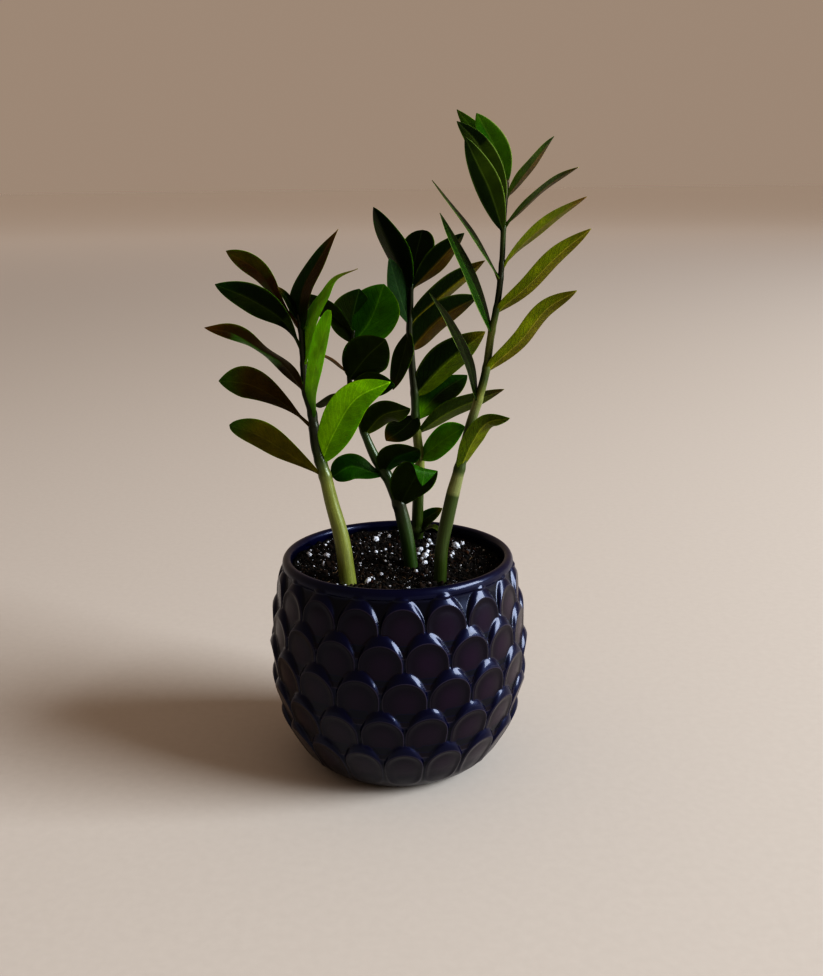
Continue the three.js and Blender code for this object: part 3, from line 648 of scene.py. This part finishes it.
def clay_material():
    """Bare fired clay of the foot."""
    look = Look("bare_clay")
    grain = look.noise(900)
    return look.surface({
        "Base Color": look.mixed(grain, *map(linear, CLAY_TONES)),
        "Roughness": 0.85,
        "Normal": look.bump(grain, 0.0002, 0.6),
    })


def leaf_veins(look, blade, across, along):
    """Side veins that leave the midrib at a slant, and a net of fine veins between them."""
    bent = look.maths("MULTIPLY_ADD", look.noise(0.2, 2.0, blade), 5.0, along)
    slanted = look.maths("MULTIPLY_ADD", look.maths("ABSOLUTE", across), -1.3, bent)
    wave = look.maths("SINE", look.maths("MULTIPLY", slanted, math.pi / SIDE_VEIN_GAP))
    side_veins = look.faded(look.maths("ABSOLUTE", wave), 0.08, 0.34, 1.0)
    net = look.faded(look.cells(0.8, blade, "DISTANCE_TO_EDGE"), 0.02, 0.12, 0.5)
    return look.maths("MAXIMUM", side_veins, net)


def leaf_material():
    """Waxy leaf.

    The point values "tint" are its colour, "blade" the place on the blade in mm, and "marks" how
    plainly its midrib and its other veins show, and 1 where these veins are pale."""
    look = Look("waxy_leaf")
    tint = look.point_values("tint", "Color")
    rib_strength, vein_strength, veins_are_pale = look.split(look.point_values("marks"))
    blade = look.point_values("blade")
    across, along, _ = look.split(blade)
    colour = look.shaded(tint, look.noise(170, 4.0), 1.1, 0.45)
    dark_veins = look.tinted(colour, (0.4, 0.42, 0.5))
    pale_veins = look.tinted(colour, (1.5, 1.35, 1.8))
    vein_colour = look.mixed(veins_are_pale, dark_veins, pale_veins)
    veins = look.maths("MULTIPLY", leaf_veins(look, blade, across, along), vein_strength)
    colour = look.mixed(veins, colour, vein_colour)
    rib = look.faded(look.maths("ABSOLUTE", across), 0.15, 0.5, 1.0)
    rib_colour = look.mixed(0.12, look.tinted(colour, (2.0, 1.7, 3.0)), linear(PALE_RIB))
    return look.surface({
        "Base Color": look.mixed(look.maths("MULTIPLY", rib, rib_strength), colour, rib_colour),
        "Roughness": look.maths("MULTIPLY_ADD", look.noise(300, 2.0), 0.2, 0.26),
        "Specular IOR Level": 0.07,
        "Specular Tint": (0.8, 1.0, 0.6),
        "Subsurface Weight": 0.3,
        "Subsurface Radius": (0.6, 1.0, 0.15),
        "Subsurface Scale": 0.0008,
        "Normal": look.bump(look.maths("MULTIPLY", veins, -1.0), 0.0002, 0.7),
    })


def stalk_material():
    """Smooth fleshy stalk with fine pale specks and lengthwise streaks."""
    look = Look("fleshy_stalk")
    tint = look.point_values("tint", "Color")
    skin = look.point_values("blade")
    stretched = look.node("Mapping", {"Vector": skin, "Scale": (1.6, 0.12, 1.6)}).outputs[0]
    streaks = look.noise(1.0, 3.0, stretched)
    colour = look.shaded(tint, streaks, 0.9, 0.55)
    specks = look.faded(look.cells(1.1, skin), 0.1, 0.26, 0.5)
    return look.surface({
        "Base Color": look.mixed(specks, colour, look.tinted(colour, (2.2, 2.1, 2.6))),
        "Roughness": 0.38,
        "Specular IOR Level": 0.4,
        "Specular Tint": (0.9, 1.0, 0.8),
        "Coat Weight": 0.25,
        "Coat Roughness": 0.16,
        "Normal": look.bump(streaks, 0.0003, 0.5),
    })


def soil_material():
    """Dark peat and bark, each crumb a little different."""
    look = Look("potting_soil")
    grain = look.noise(700, 5.0)
    return look.surface({
        "Base Color": look.shaded(look.point_values("tint", "Color"), grain, 1.6, 0.2),
        "Roughness": 0.9,
        "Specular IOR Level": 0.25,
        "Normal": look.bump(grain, 0.0008, 0.9),
    })


def perlite_material():
    """White porous grains with grey pits."""
    look = Look("perlite")
    pits = look.noise(1500)
    ramp = look.node("ValToRGB", {"Fac": pits})
    for stop, place, tone in zip(ramp.color_ramp.elements, (0.34, 0.56), PERLITE_TONES):
        stop.position = place
        stop.color = (*linear(tone), 1)
    return look.surface({
        "Base Color": ramp.outputs["Color"],
        "Roughness": 0.8,
        "Normal": look.bump(pits, 0.0004, 0.8),
    })


def floor_material():
    """Pale paper with fine fibres, painted paler far away, where less of the window's light falls."""
    look = Look("pale_floor")
    distance = look.node("VectorMath", {0: look.place()}, operation="LENGTH").outputs["Value"]
    first, second, far = map(linear, FLOOR_TONES)
    near = look.mixed(look.noise(220, 4.0), first, second)
    return look.surface({
        # Painted light: the floor grows paler with distance, where the window lights it less.
        "Base Color": look.mixed(look.ranged(distance, 0.9, 7.0, 0.0, 1.0), near, far),
        "Roughness": 0.9,
        "Specular IOR Level": 0.2,
    })


# ---------------- pot


def scale_shape(side, down):
    """Height above the wall of one scale, and how far each place lies outside its face and inside it.

    side is the share of the half width, and down the distance below the top in mm."""
    side = np.abs(side)
    arch = np.clip((SCALE_ARCH - down) / SCALE_ARCH, 0, None)
    power = SCALE_POINTEDNESS
    tapered = side / np.interp(down, *zip(*SCALE_TAPER))
    outline = np.where(down < SCALE_ARCH, (side**power + arch**power) ** (1 / power), tapered)
    lift = np.clip((FACE_CENTRE - down) / FACE_HEIGHT, 0, None)
    drop = np.clip((down - FACE_CENTRE) / FACE_DROP, 0, None)
    width = side / FACE_WIDTH
    face = np.where(down < FACE_CENTRE, np.hypot(width, lift), np.cbrt(width**3 + drop**3))
    inside = np.clip(1 - outline, 0, None)
    outside_face = np.clip(face - 1, 0, None)
    climb = inside / (inside + outside_face + 1e-6)
    step = SCALE_STEP * smooth_step(climb / SCALE_STEP_WIDTH)
    profile = step + (1 - SCALE_STEP) * (1 - (1 - climb) ** SCALE_ROUNDING)
    fall = 1 - smooth_step(down / SCALE_SUNK_AT) * SCALE_FALL
    sunk = 1 - smooth_step((down - SCALE_SUNK_AT) / (SCALE_LENGTH - SCALE_SUNK_AT))
    height = SCALE_RELIEF * fall * sunk * profile
    border = np.exp(-(((face - 1) / FACE_BORDER_WIDTH) ** 2))
    height += FACE_BORDER * sunk * border * (outline < 1)
    dish_start, dish_width = FACE_DISH_SPAN
    height -= FACE_DISH * sunk * smooth_step((dish_start - face) / dish_width)
    return np.where(outline < 1, height, -1.0), face - 1, inside


def pot_relief(angle, height):
    """Relief of all rows of scales at an angle in degrees and a height.

    With it come the places on the uppermost scale there, as scale_shape gives them."""
    jitter = np.random.default_rng(7)
    relief = np.zeros_like(angle)
    beyond = np.ones_like(angle)
    inside = np.zeros_like(angle)
    pitch = 360 / SCALES_PER_ROW
    for row, top in enumerate(SCALE_TOPS):
        start = FIRST_SCALE_ANGLE + (row % 2) / 2 * pitch
        turn = (angle - start) / pitch
        index = np.round(turn).astype(int) % SCALES_PER_ROW
        shift, lift, lean = (
            jitter.uniform(-most, most, SCALES_PER_ROW)[index]
            for most in (SCALE_SHIFT, SCALE_LIFT, SCALE_LEAN)
        )
        down = top + lift - height
        side = ((turn - np.round(turn)) * pitch + shift) / SCALE_HALF_ANGLE
        shape, outside, within = scale_shape(side + lean * (down / SCALE_ARCH - 1), down)
        beyond = np.where(shape > relief, outside, beyond)
        inside = np.where(shape > relief, within, inside)
        # The higher of the two, with a fillet where they are close.
        close = np.maximum(SCALE_FILLET - np.abs(relief - shape), 0)
        relief = np.maximum(relief, shape) + close * close / (4 * SCALE_FILLET)
    return relief, beyond, inside


def softened(grid):
    """A closed grid with each value averaged with its neighbours."""
    grid = (np.roll(grid, 1, axis=1) + 2 * grid + np.roll(grid, -1, axis=1)) / 4
    tall = np.concatenate([grid[:1], grid, grid[-1:]])
    return (tall[:-2] + 2 * tall[1:-1] + tall[2:]) / 4


def pot_rows():
    """Radius and height of each row of the pot's mesh, from under the foot round to the inside."""
    outside, _ = along_path(smooth_path(WALL_OUTSIDE + LIP), np.linspace(0, 1, WALL_ROWS))
    inside, _ = along_path(smooth_path([LIP[-1], *WALL_INSIDE]), np.linspace(0, 1, INSIDE_ROWS)[1:])
    return np.array([*UNDERSIDE, *outside, *inside, *INSIDE_FLOOR])


def make_pot(glaze, clay):
    rows = pot_rows()
    radius, height = rows[:, 0], rows[:, 1]
    is_wall = np.arange(len(rows)) < len(UNDERSIDE) + WALL_ROWS
    relief_start, relief_end = RELIEF_SPAN
    has_relief = is_wall & (height > relief_start) & (height < relief_end)
    fade = np.where(has_relief, smooth_step(height / RELIEF_RISE), 0)[:, None]
    is_plain_wall = is_wall & (height > 0) & (height < LIP_FOOT)
    back = GLAZE_BACK * np.where(is_plain_wall, 1, 0)[:, None]
    turn = np.linspace(0, 360, POT_COLUMNS, endpoint=False)
    angles, heights = np.meshgrid(turn, height)
    relief, beyond, inside = pot_relief(angles, heights)
    waves_round, waves_up = GLAZE_WAVES
    ripple = GLAZE_RIPPLE * np.sin(np.radians(angles * waves_round + heights * waves_up)) * fade
    out = radius[:, None] + softened(relief * fade) - back + ripple
    points = np.stack([*on_circle(out, np.radians(angles)), heights], axis=2).reshape(-1, 3)
    places = np.stack([beyond, inside, heights], axis=2).reshape(-1, 3)
    faces = ring_faces(len(rows), POT_COLUMNS)
    pot = make_object("glazed_pot", points, faces, glaze, scale=places)
    pot.data.materials.append(clay)
    bare = [int(i // POT_COLUMNS < len(UNDERSIDE)) for i in range(len(faces))]
    pot.data.polygons.foreach_set("material_index", bare)
    return pot


# ---------------- soil


def soil_height(x, y):
    """The soil rises to the back and to the left, with low broad waves."""
    lumps = np.sin(x * 0.33 + 1.3) * np.cos(y * 0.29 - 0.6) + 0.7 * np.sin(x * 0.24 - y * 0.38)
    mound = SOIL_MOUND * (y - 0.6 * x) / RIM_INNER_RADIUS
    return SOIL_LEVEL + mound + SOIL_ROUGHNESS * lumps


def soil_surface():
    """The block of soil, finely uneven on top: its points, faces and colours."""
    turn = evenly_round(SOIL_COLUMNS)
    rings = [(*on_circle(radius, turn), np.full(SOIL_COLUMNS, height)) for radius, height in SOIL_SIDE]
    for share in np.linspace(1, 0.004, SOIL_RINGS):
        x, y = on_circle(SOIL_EDGE * share, turn)
        rough = [
            sum(size * noise.noise(Vector((a * scale, b * scale, at))) for size, scale, at in SOIL_GRAIN)
            for a, b in zip(x, y)
        ]
        rings.append((x, y, soil_height(x, y) + np.array(rough)))
    points = np.concatenate([np.stack(ring, axis=1) for ring in rings])
    return points, capped_faces(len(rings), SOIL_COLUMNS), np.tile(linear(SOIL_TONE), (len(points), 1))


def crumb_ball():
    """Points and faces of a ball of 20 triangles, for crumbs."""
    golden = (1 + 5**0.5) / 2
    points = []
    for a in (-1, 1):
        for b in (-golden, golden):
            points += [(0, a, b), (a, b, 0), (b, 0, a)]
    points = np.array(points) / math.hypot(1, golden)
    faces = []
    near = 2 / math.hypot(1, golden) * 1.01
    for i, j, k in itertools.combinations(range(len(points)), 3):
        a, b, c = points[[i, j, k]]
        if max(np.linalg.norm(side) for side in (a - b, b - c, a - c)) < near:
            faces.append((i, j, k) if np.dot(np.cross(b - a, c - a), a) > 0 else (i, k, j))
    return points, faces


def refine(points, faces):
    """A ball with each of its triangles cut into four."""
    points = [tuple(p) for p in points]
    middle_of = {}

    def middle(a, b):
        key = (min(a, b), max(a, b))
        if key not in middle_of:
            point = (np.array(points[a]) + np.array(points[b])) / 2
            points.append(tuple(point / np.linalg.norm(point)))
            middle_of[key] = len(points) - 1
        return middle_of[key]

    finer = []
    for a, b, c in faces:
        ab, bc, ca = middle(a, b), middle(b, c), middle(c, a)
        finer += [(a, ab, ca), (b, bc, ab), (c, ca, bc), (ab, bc, ca)]
    return np.array(points), finer


def spots(rng, count, radii, sink, colours):
    """Random places on the soil: x, y, z, radius and colour."""
    found = []
    for _ in range(count):
        radius = rng.uniform(*radii)
        x, y = random_place(rng, SOIL_EDGE - SOIL_MARGIN - radius)
        z = soil_height(x, y) + radius * rng.uniform(-sink, LOOSE_RISE)
        found.append((x, y, z, radius, colours[rng.integers(len(colours))]))
    return found


def random_place(rng, edge):
    reach = math.sqrt(rng.uniform()) * edge
    turn = rng.uniform(0, FULL_TURN)
    return reach * math.cos(turn), reach * math.sin(turn)


def scatter(places, rng, rough, flat, ball):
    """Rough lumps of a ball at places (x, y, z, radius, colour): all points, faces and colours."""
    ball_points, ball_faces = ball
    lumps = []
    for x, y, z, radius, colour in places:
        axes = rng.uniform(*flat, 3)
        bumps = 1 + rough * rng.uniform(-1, 1, (len(ball_points), 1))
        spin = Matrix.Rotation(rng.uniform(0, 6.28), 3, Vector(rng.normal(size=3)).normalized())
        lump = (ball_points * bumps * axes * radius) @ np.array(spin).T + (x, y, z)
        lumps.append((lump, ball_faces, np.tile(linear(colour), (len(lump), 1))))
    return joined(lumps)


def root_fibre(rng):
    """A thin dry root that lies loose on the soil: its points, faces and colours."""
    place = np.array(random_place(rng, ROOT_REACH))
    heading = rng.uniform(0, FULL_TURN)
    route = []
    for _ in range(ROOT_JOINTS):
        route.append((*place, soil_height(*place) + rng.uniform(*ROOT_LIFT)))
        heading += rng.uniform(-ROOT_BEND, ROOT_BEND)
        place = place + ROOT_STEP * np.array([math.cos(heading), math.sin(heading)])
    path = smooth_path(route, 3)
    corners = [
        ROOT_RADIUS * np.array([math.cos(turn), math.sin(turn) * 0.5, math.sin(turn)])
        for turn in (0, math.pi / 2, math.pi, math.pi * 1.5)
    ]
    points = np.array([place + corner for place in path for corner in corners])
    tone = linear(ROOT_TONES[rng.integers(len(ROOT_TONES))])
    return points, capped_faces(len(path), len(corners)), np.tile(tone, (len(points), 1))


def make_soil(soil, perlite):
    rng = np.random.default_rng(12)
    balls = [crumb_ball()]
    for _ in range(2):
        balls.append(refine(*balls[-1]))
    parts = [soil_surface()]
    for count, radii, sink, rough, flat, cuts, colours in LOOSE_MATTER:
        places = spots(rng, count, radii, sink, colours)
        parts.append(scatter(places, rng, rough, flat, balls[cuts]))
    parts += [root_fibre(rng) for _ in range(ROOT_FIBRES)]
    points, faces, tints = joined(parts)
    ground = make_object("potting_soil", points, faces, soil, tints)

    large = [
        (x, y, soil_height(x, y) + LARGE_GRAIN_RISE * radius, radius, WHITE)
        for x, y, radius in LARGE_GRAINS
    ]
    small, specks = (spots(rng, *row[:3], [WHITE]) for row in WHITE_MATTER)
    points, faces, _ = joined([
        scatter(places, rng, rough, flat, balls[cuts])
        for places, (*_, rough, flat, cuts) in zip((large + small, specks), WHITE_MATTER)
    ])
    return ground, make_object("perlite_grains", points, faces, perlite)


# ---------------- stems and leaflets


def stem_path(route):
    """Centre line with radius, from the buried end up."""
    route = np.array(route, dtype=float)
    slope = (route[1, :3] - route[0, :3]) / (route[1, 2] - route[0, 2])
    foot = route[0, :3] + slope * (STEM_BURIED_TO - route[0, 2])
    places = smooth_path(np.vstack([foot, route[:, :3]]))
    radii = np.interp(places[:, 2], route[:, 2], route[:, 3])
    return np.column_stack([places, radii])


def stem_tints(colours, heights):
    stops, tones = zip(*colours)
    values = np.array([linear(tone) for tone in tones])
    return np.stack([np.interp(heights, stops, channel) for channel in values.T], axis=1)


def make_stalk(name, path, colours, leaflets, material):
    length = length_of(path)
    count = int(length / STEM_STEP)
    places, directions = along_path(path, np.linspace(0, 1, count))
    heights = places[:, 2]
    swelling = np.zeros(count)
    for leaf in leaflets:
        for share, above, span in STEM_SWELLINGS:
            swelling += share * np.exp(-(((heights - leaf["at"] - above) / span) ** 2))
    radii = places[:, 3] * (1 + np.clip(swelling, *STEM_SWELLING_LIMITS))
    travelled = np.linspace(0, length, count)
    turns = evenly_round(STEM_SIDES)
    points, skin = [], []
    for place, direction, radius, run in zip(places, directions, radii, travelled):
        across = np.cross((0, -1, 0), direction)
        across /= np.linalg.norm(across)
        outward = np.cross(direction, across)
        for turn in turns:
            points.append(place[:3] + radius * (across * math.cos(turn) + outward * math.sin(turn)))
            skin.append((radius * math.cos(turn), run, radius * math.sin(turn)))
    tints = np.repeat(stem_tints(colours, heights), STEM_SIDES, axis=0)
    faces = capped_faces(count, STEM_SIDES)
    return make_object(name + "_stalk", points, faces, material, tints, blade=skin)


def blade_outline(t, leaf):
    """Half the width of a blade as a share of its widest place."""
    belly = leaf["belly"]
    before = np.sin(math.pi / 2 * np.clip(t / belly, 0, 1)) ** leaf["shoulder"]
    past = np.clip((t - belly) / (1 - belly), 0, 1)
    after = (1 - past**2) ** leaf["taper"]
    return np.where(t < belly, before, after)


def blade_frame(along, leaf):
    """The directions in which a blade faces and spreads where it runs along."""
    to_viewer = (TO_VIEWER - along * TO_VIEWER.dot(along)).normalized()
    facing = math.radians(leaf["facing"])
    up = to_viewer * math.cos(facing) + to_viewer.cross(along) * math.sin(facing)
    return up, up.cross(along).normalized()


def blade_frames(directions, leaf):
    """The frame at each station. A leaflet that curls over keeps the first one as it bends."""
    directions = [Vector(direction) for direction in directions]
    if not leaf["curls"]:
        return [blade_frame(along, leaf) for along in directions]
    up, _ = blade_frame(directions[0], leaf)
    frames = []
    for along in directions:
        up = (up - along * up.dot(along)).normalized()
        frames.append((up, up.cross(along).normalized()))
    return frames


def towards(colour, tone, share):
    """The colour, moved by a share of the way to a tone."""
    return colour + (linear(tone) - colour) * float(share)


def blade_colour(leaf, t, side, is_first_half):
    """Colour of the blade at t along it and at side, -1 to 1, across it."""
    first, second, tip = leaf["tones"]
    colour = linear(first if is_first_half else second)
    if leaf["base"]:
        colour = towards(colour, leaf["base"], smooth_step(1 - t / BASE_END))
    colour = towards(colour, tip, smooth_step((t - TIP_START) / (1 - TIP_START)))
    if leaf["strip"] and not is_first_half:
        start, end, tone = leaf["strip"]
        ends = smooth_step((t - start) / STRIP_BLUR) * smooth_step((end - t) / STRIP_BLUR)
        colour = towards(colour, tone, ends)
    strength = PLAIN_EDGE if leaf["edge"] and not is_first_half else FAINT_EDGE
    near = float(smooth_step((abs(side) - EDGE_START) / EDGE_BLUR))
    return towards(colour, leaf["edge"] or EDGE_TONE, near * strength)


def blade_mesh(path, leaf, rng):
    """One leaflet as a closed thin blade: its points, faces, colours, coordinates and marks."""
    foot = [np.interp(leaf["at"], path[:, 2], path[:, k]) for k in range(3)]
    rib = smooth_path([foot, *leaf["rib"]])
    rib_length = length_of(rib)
    shares = np.linspace(0, 1, BLADE_STATIONS)
    shares = shares - BLADE_CROWDING * np.sin(FULL_TURN * shares) / 2
    centres, directions = along_path(rib, shares)
    stalk_half = PETIOLE_WIDTH / 2
    narrowest = stalk_half + (BLADE_TIP - stalk_half) * smooth_step(shares / 0.5)
    halves = np.maximum(leaf["width"] / 2 * blade_outline(shares, leaf), narrowest)
    sides = np.sin(np.linspace(-math.pi / 2, math.pi / 2, BLADE_COLUMNS + 1))
    phases = rng.uniform(0, FULL_TURN, 2)
    noise_slice = rng.uniform(0, 200)
    mark = (leaf["ribs"], leaf["veins"], int(leaf["pale_veins"]))
    seen_layer = -1 if abs(leaf["facing"]) > 90 else 1
    points = {1: [], -1: []}
    values = {1: [], -1: []}
    for t, centre, (up, across), half in zip(shares, centres, blade_frames(directions, leaf), halves):
        up_left_side = 1 if across.dot(UP_LEFT) > 0 else -1
        petiole = float(1 - smooth_step(t / PETIOLE_SHARE))
        for side in sides:
            bend = math.sqrt(side * side + FOLD_ROUNDING) - math.sqrt(FOLD_ROUNDING)
            rise = leaf["fold"] * half * bend
            wave = math.sin(BLADE_WAVES * t + phases[0 if side < 0 else 1])
            ripple = leaf["wave"] * half * side * side * wave
            middle = centre + np.array(across) * half * side + np.array(up) * (rise + ripple)
            bulge = math.sqrt(max(0, 1 - side * side))
            thick = BLADE_THICKNESS * bulge / 2
            thick = thick * (1 - BLADE_THINNING * t) + petiole * PETIOLE_THICKNESS * bulge
            groove = RIB_GROOVE * math.exp(-((side * half / RIB_GROOVE_WIDTH) ** 2)) * (1 - t)
            place = (side * half, t * rib_length, noise_slice)
            for layer, lift in ((1, thick - groove), (-1, -thick - groove * RIB_BELOW)):
                lift = 0 if bulge < 1e-6 else lift
                points[layer].append(middle + np.array(up) * lift)
                if layer == seen_layer:
                    colour = blade_colour(leaf, t, side, side * up_left_side > 0)
                else:
                    colour = linear(HIDDEN_TONES[layer]) * HIDDEN_SHADE
                values[layer].append((colour, place, mark))
    faces, kept = blade_faces()
    colours, places, marks = (np.array(column)[kept] for column in zip(*values[1], *values[-1]))
    return np.array(points[1] + points[-1])[kept], faces, colours, places, marks


def blade_faces():
    """The faces of a blade of two layers, and which of the layers' points they use.

    Along the edges the lower layer uses the points of the upper one."""
    columns = BLADE_COLUMNS + 1
    count = BLADE_STATIONS * columns
    inner = np.flatnonzero(np.arange(count) % columns % BLADE_COLUMNS)
    kept = np.concatenate([np.arange(count), count + inner])
    place = np.tile(np.arange(count), 2)
    place[count + inner] = count + np.arange(len(inner))
    faces = []
    for a, b, c, d in ring_faces(BLADE_STATIONS, columns, closed=False):
        faces += [(a, d, c, b), (count + a, count + b, count + c, count + d)]
    last = count - columns
    for c in range(BLADE_COLUMNS):
        faces.append((c, c + 1, count + c + 1, count + c))
        faces.append((last + c + 1, last + c, count + last + c, count + last + c + 1))
    return [tuple(dict.fromkeys(int(place[i]) for i in face)) for face in faces], kept


def make_leaflets(name, path, leaflets, material, rng):
    blades = [blade_mesh(path, leaf, rng) for leaf in leaflets]
    points, faces, tints, places, marks = joined(blades)
    name += "_leaflets"
    return make_object(name, points, faces, material, tints, blade=places, marks=marks)


# ---------------- the scene


def make_camera():
    """The photograph's view."""
    data = bpy.data.cameras.new("camera")
    data.sensor_width = SENSOR_SIZE
    data.lens = SENSOR_SIZE * FOCAL_LENGTH / PHOTO_HEIGHT
    camera = placed("camera", data)
    pitch, yaw, roll = map(math.radians, (CAMERA_PITCH, CAMERA_YAW, CAMERA_ROLL))
    level = math.cos(pitch)
    forward = Vector((math.sin(yaw) * level, math.cos(yaw) * level, -math.sin(pitch)))
    right = Vector((math.cos(yaw), -math.sin(yaw), 0))
    up = right.cross(forward)
    tilted_right = right * math.cos(roll) + up * math.sin(roll)
    tilted_up = up * math.cos(roll) - right * math.sin(roll)
    turn = Matrix((tilted_right, tilted_up, -forward)).transposed()
    camera.matrix_world = Matrix.Translation(CAMERA_PLACE) @ turn.to_4x4()
    bpy.context.scene.camera = camera


def make_lights():
    """A window to the right, a little in front, and a dim warm room."""
    turn, rise = math.radians(WINDOW_TURN), math.radians(WINDOW_RISE)
    level = math.cos(rise)
    to_window = Vector((math.sin(turn) * level, -math.cos(turn) * level, math.sin(rise)))
    data = bpy.data.lights.new("window", "AREA")
    data.shape = "RECTANGLE"
    data.size = 2 * WINDOW_DISTANCE * math.tan(math.radians(WINDOW_WIDTH / 2))
    data.size_y = 2 * WINDOW_DISTANCE * math.tan(math.radians(WINDOW_HEIGHT / 2))
    data.energy = WINDOW_RADIANCE * math.pi * data.size * data.size_y
    data.color = WINDOW_COLOUR
    light = placed("window", data)
    light.location = Vector((0, 0, WINDOW_AIM)) + to_window * WINDOW_DISTANCE
    light.rotation_euler = (-to_window).to_track_quat("-Z", "Y").to_euler()
    world = bpy.data.worlds.new("pale_room")
    bpy.context.scene.world = world
    world.use_nodes = True
    background = world.node_tree.nodes["Background"]
    background.inputs["Color"].default_value = (*linear(ROOM_TONE), 1)
    background.inputs["Strength"].default_value = ROOM_STRENGTH


def make_floor(material):
    turns = evenly_round(FLOOR_SIDES)
    points = [(FLOOR_RADIUS * math.cos(t), FLOOR_RADIUS * math.sin(t), -FLOOR_DROP) for t in turns]
    return make_object("pale_floor", points, [tuple(range(FLOOR_SIDES))], material)


make_camera()
make_lights()
bpy.context.scene.view_settings.view_transform = "Standard"
bpy.context.scene.view_settings.look = "High Contrast"
make_floor(floor_material())

pot_piece = make_pot(glaze_material(), clay_material())
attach(pot_piece, BODY)
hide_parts("pot")

soil_piece, perlite_piece = make_soil(soil_material(), perlite_material())
for piece, slot in ((soil_piece, "soil"), (perlite_piece, "perlite")):
    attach(piece, BODY)
    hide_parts("soil")

leaf = leaf_material()
stalk = stalk_material()
leaf_rng = np.random.default_rng(3)
for name, route, colours, leaflets in STEMS:
    node = f"{name}_leafy_stem"
    path = stem_path(route)
    stalk_piece = make_stalk(name, path, colours, leaflets, stalk)
    leaf_piece = make_leaflets(name, path, leaflets, leaf, leaf_rng)
    for piece, slot in ((stalk_piece, "stem"), (leaf_piece, "leaf")):
        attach(piece, BODY)
        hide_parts(node)
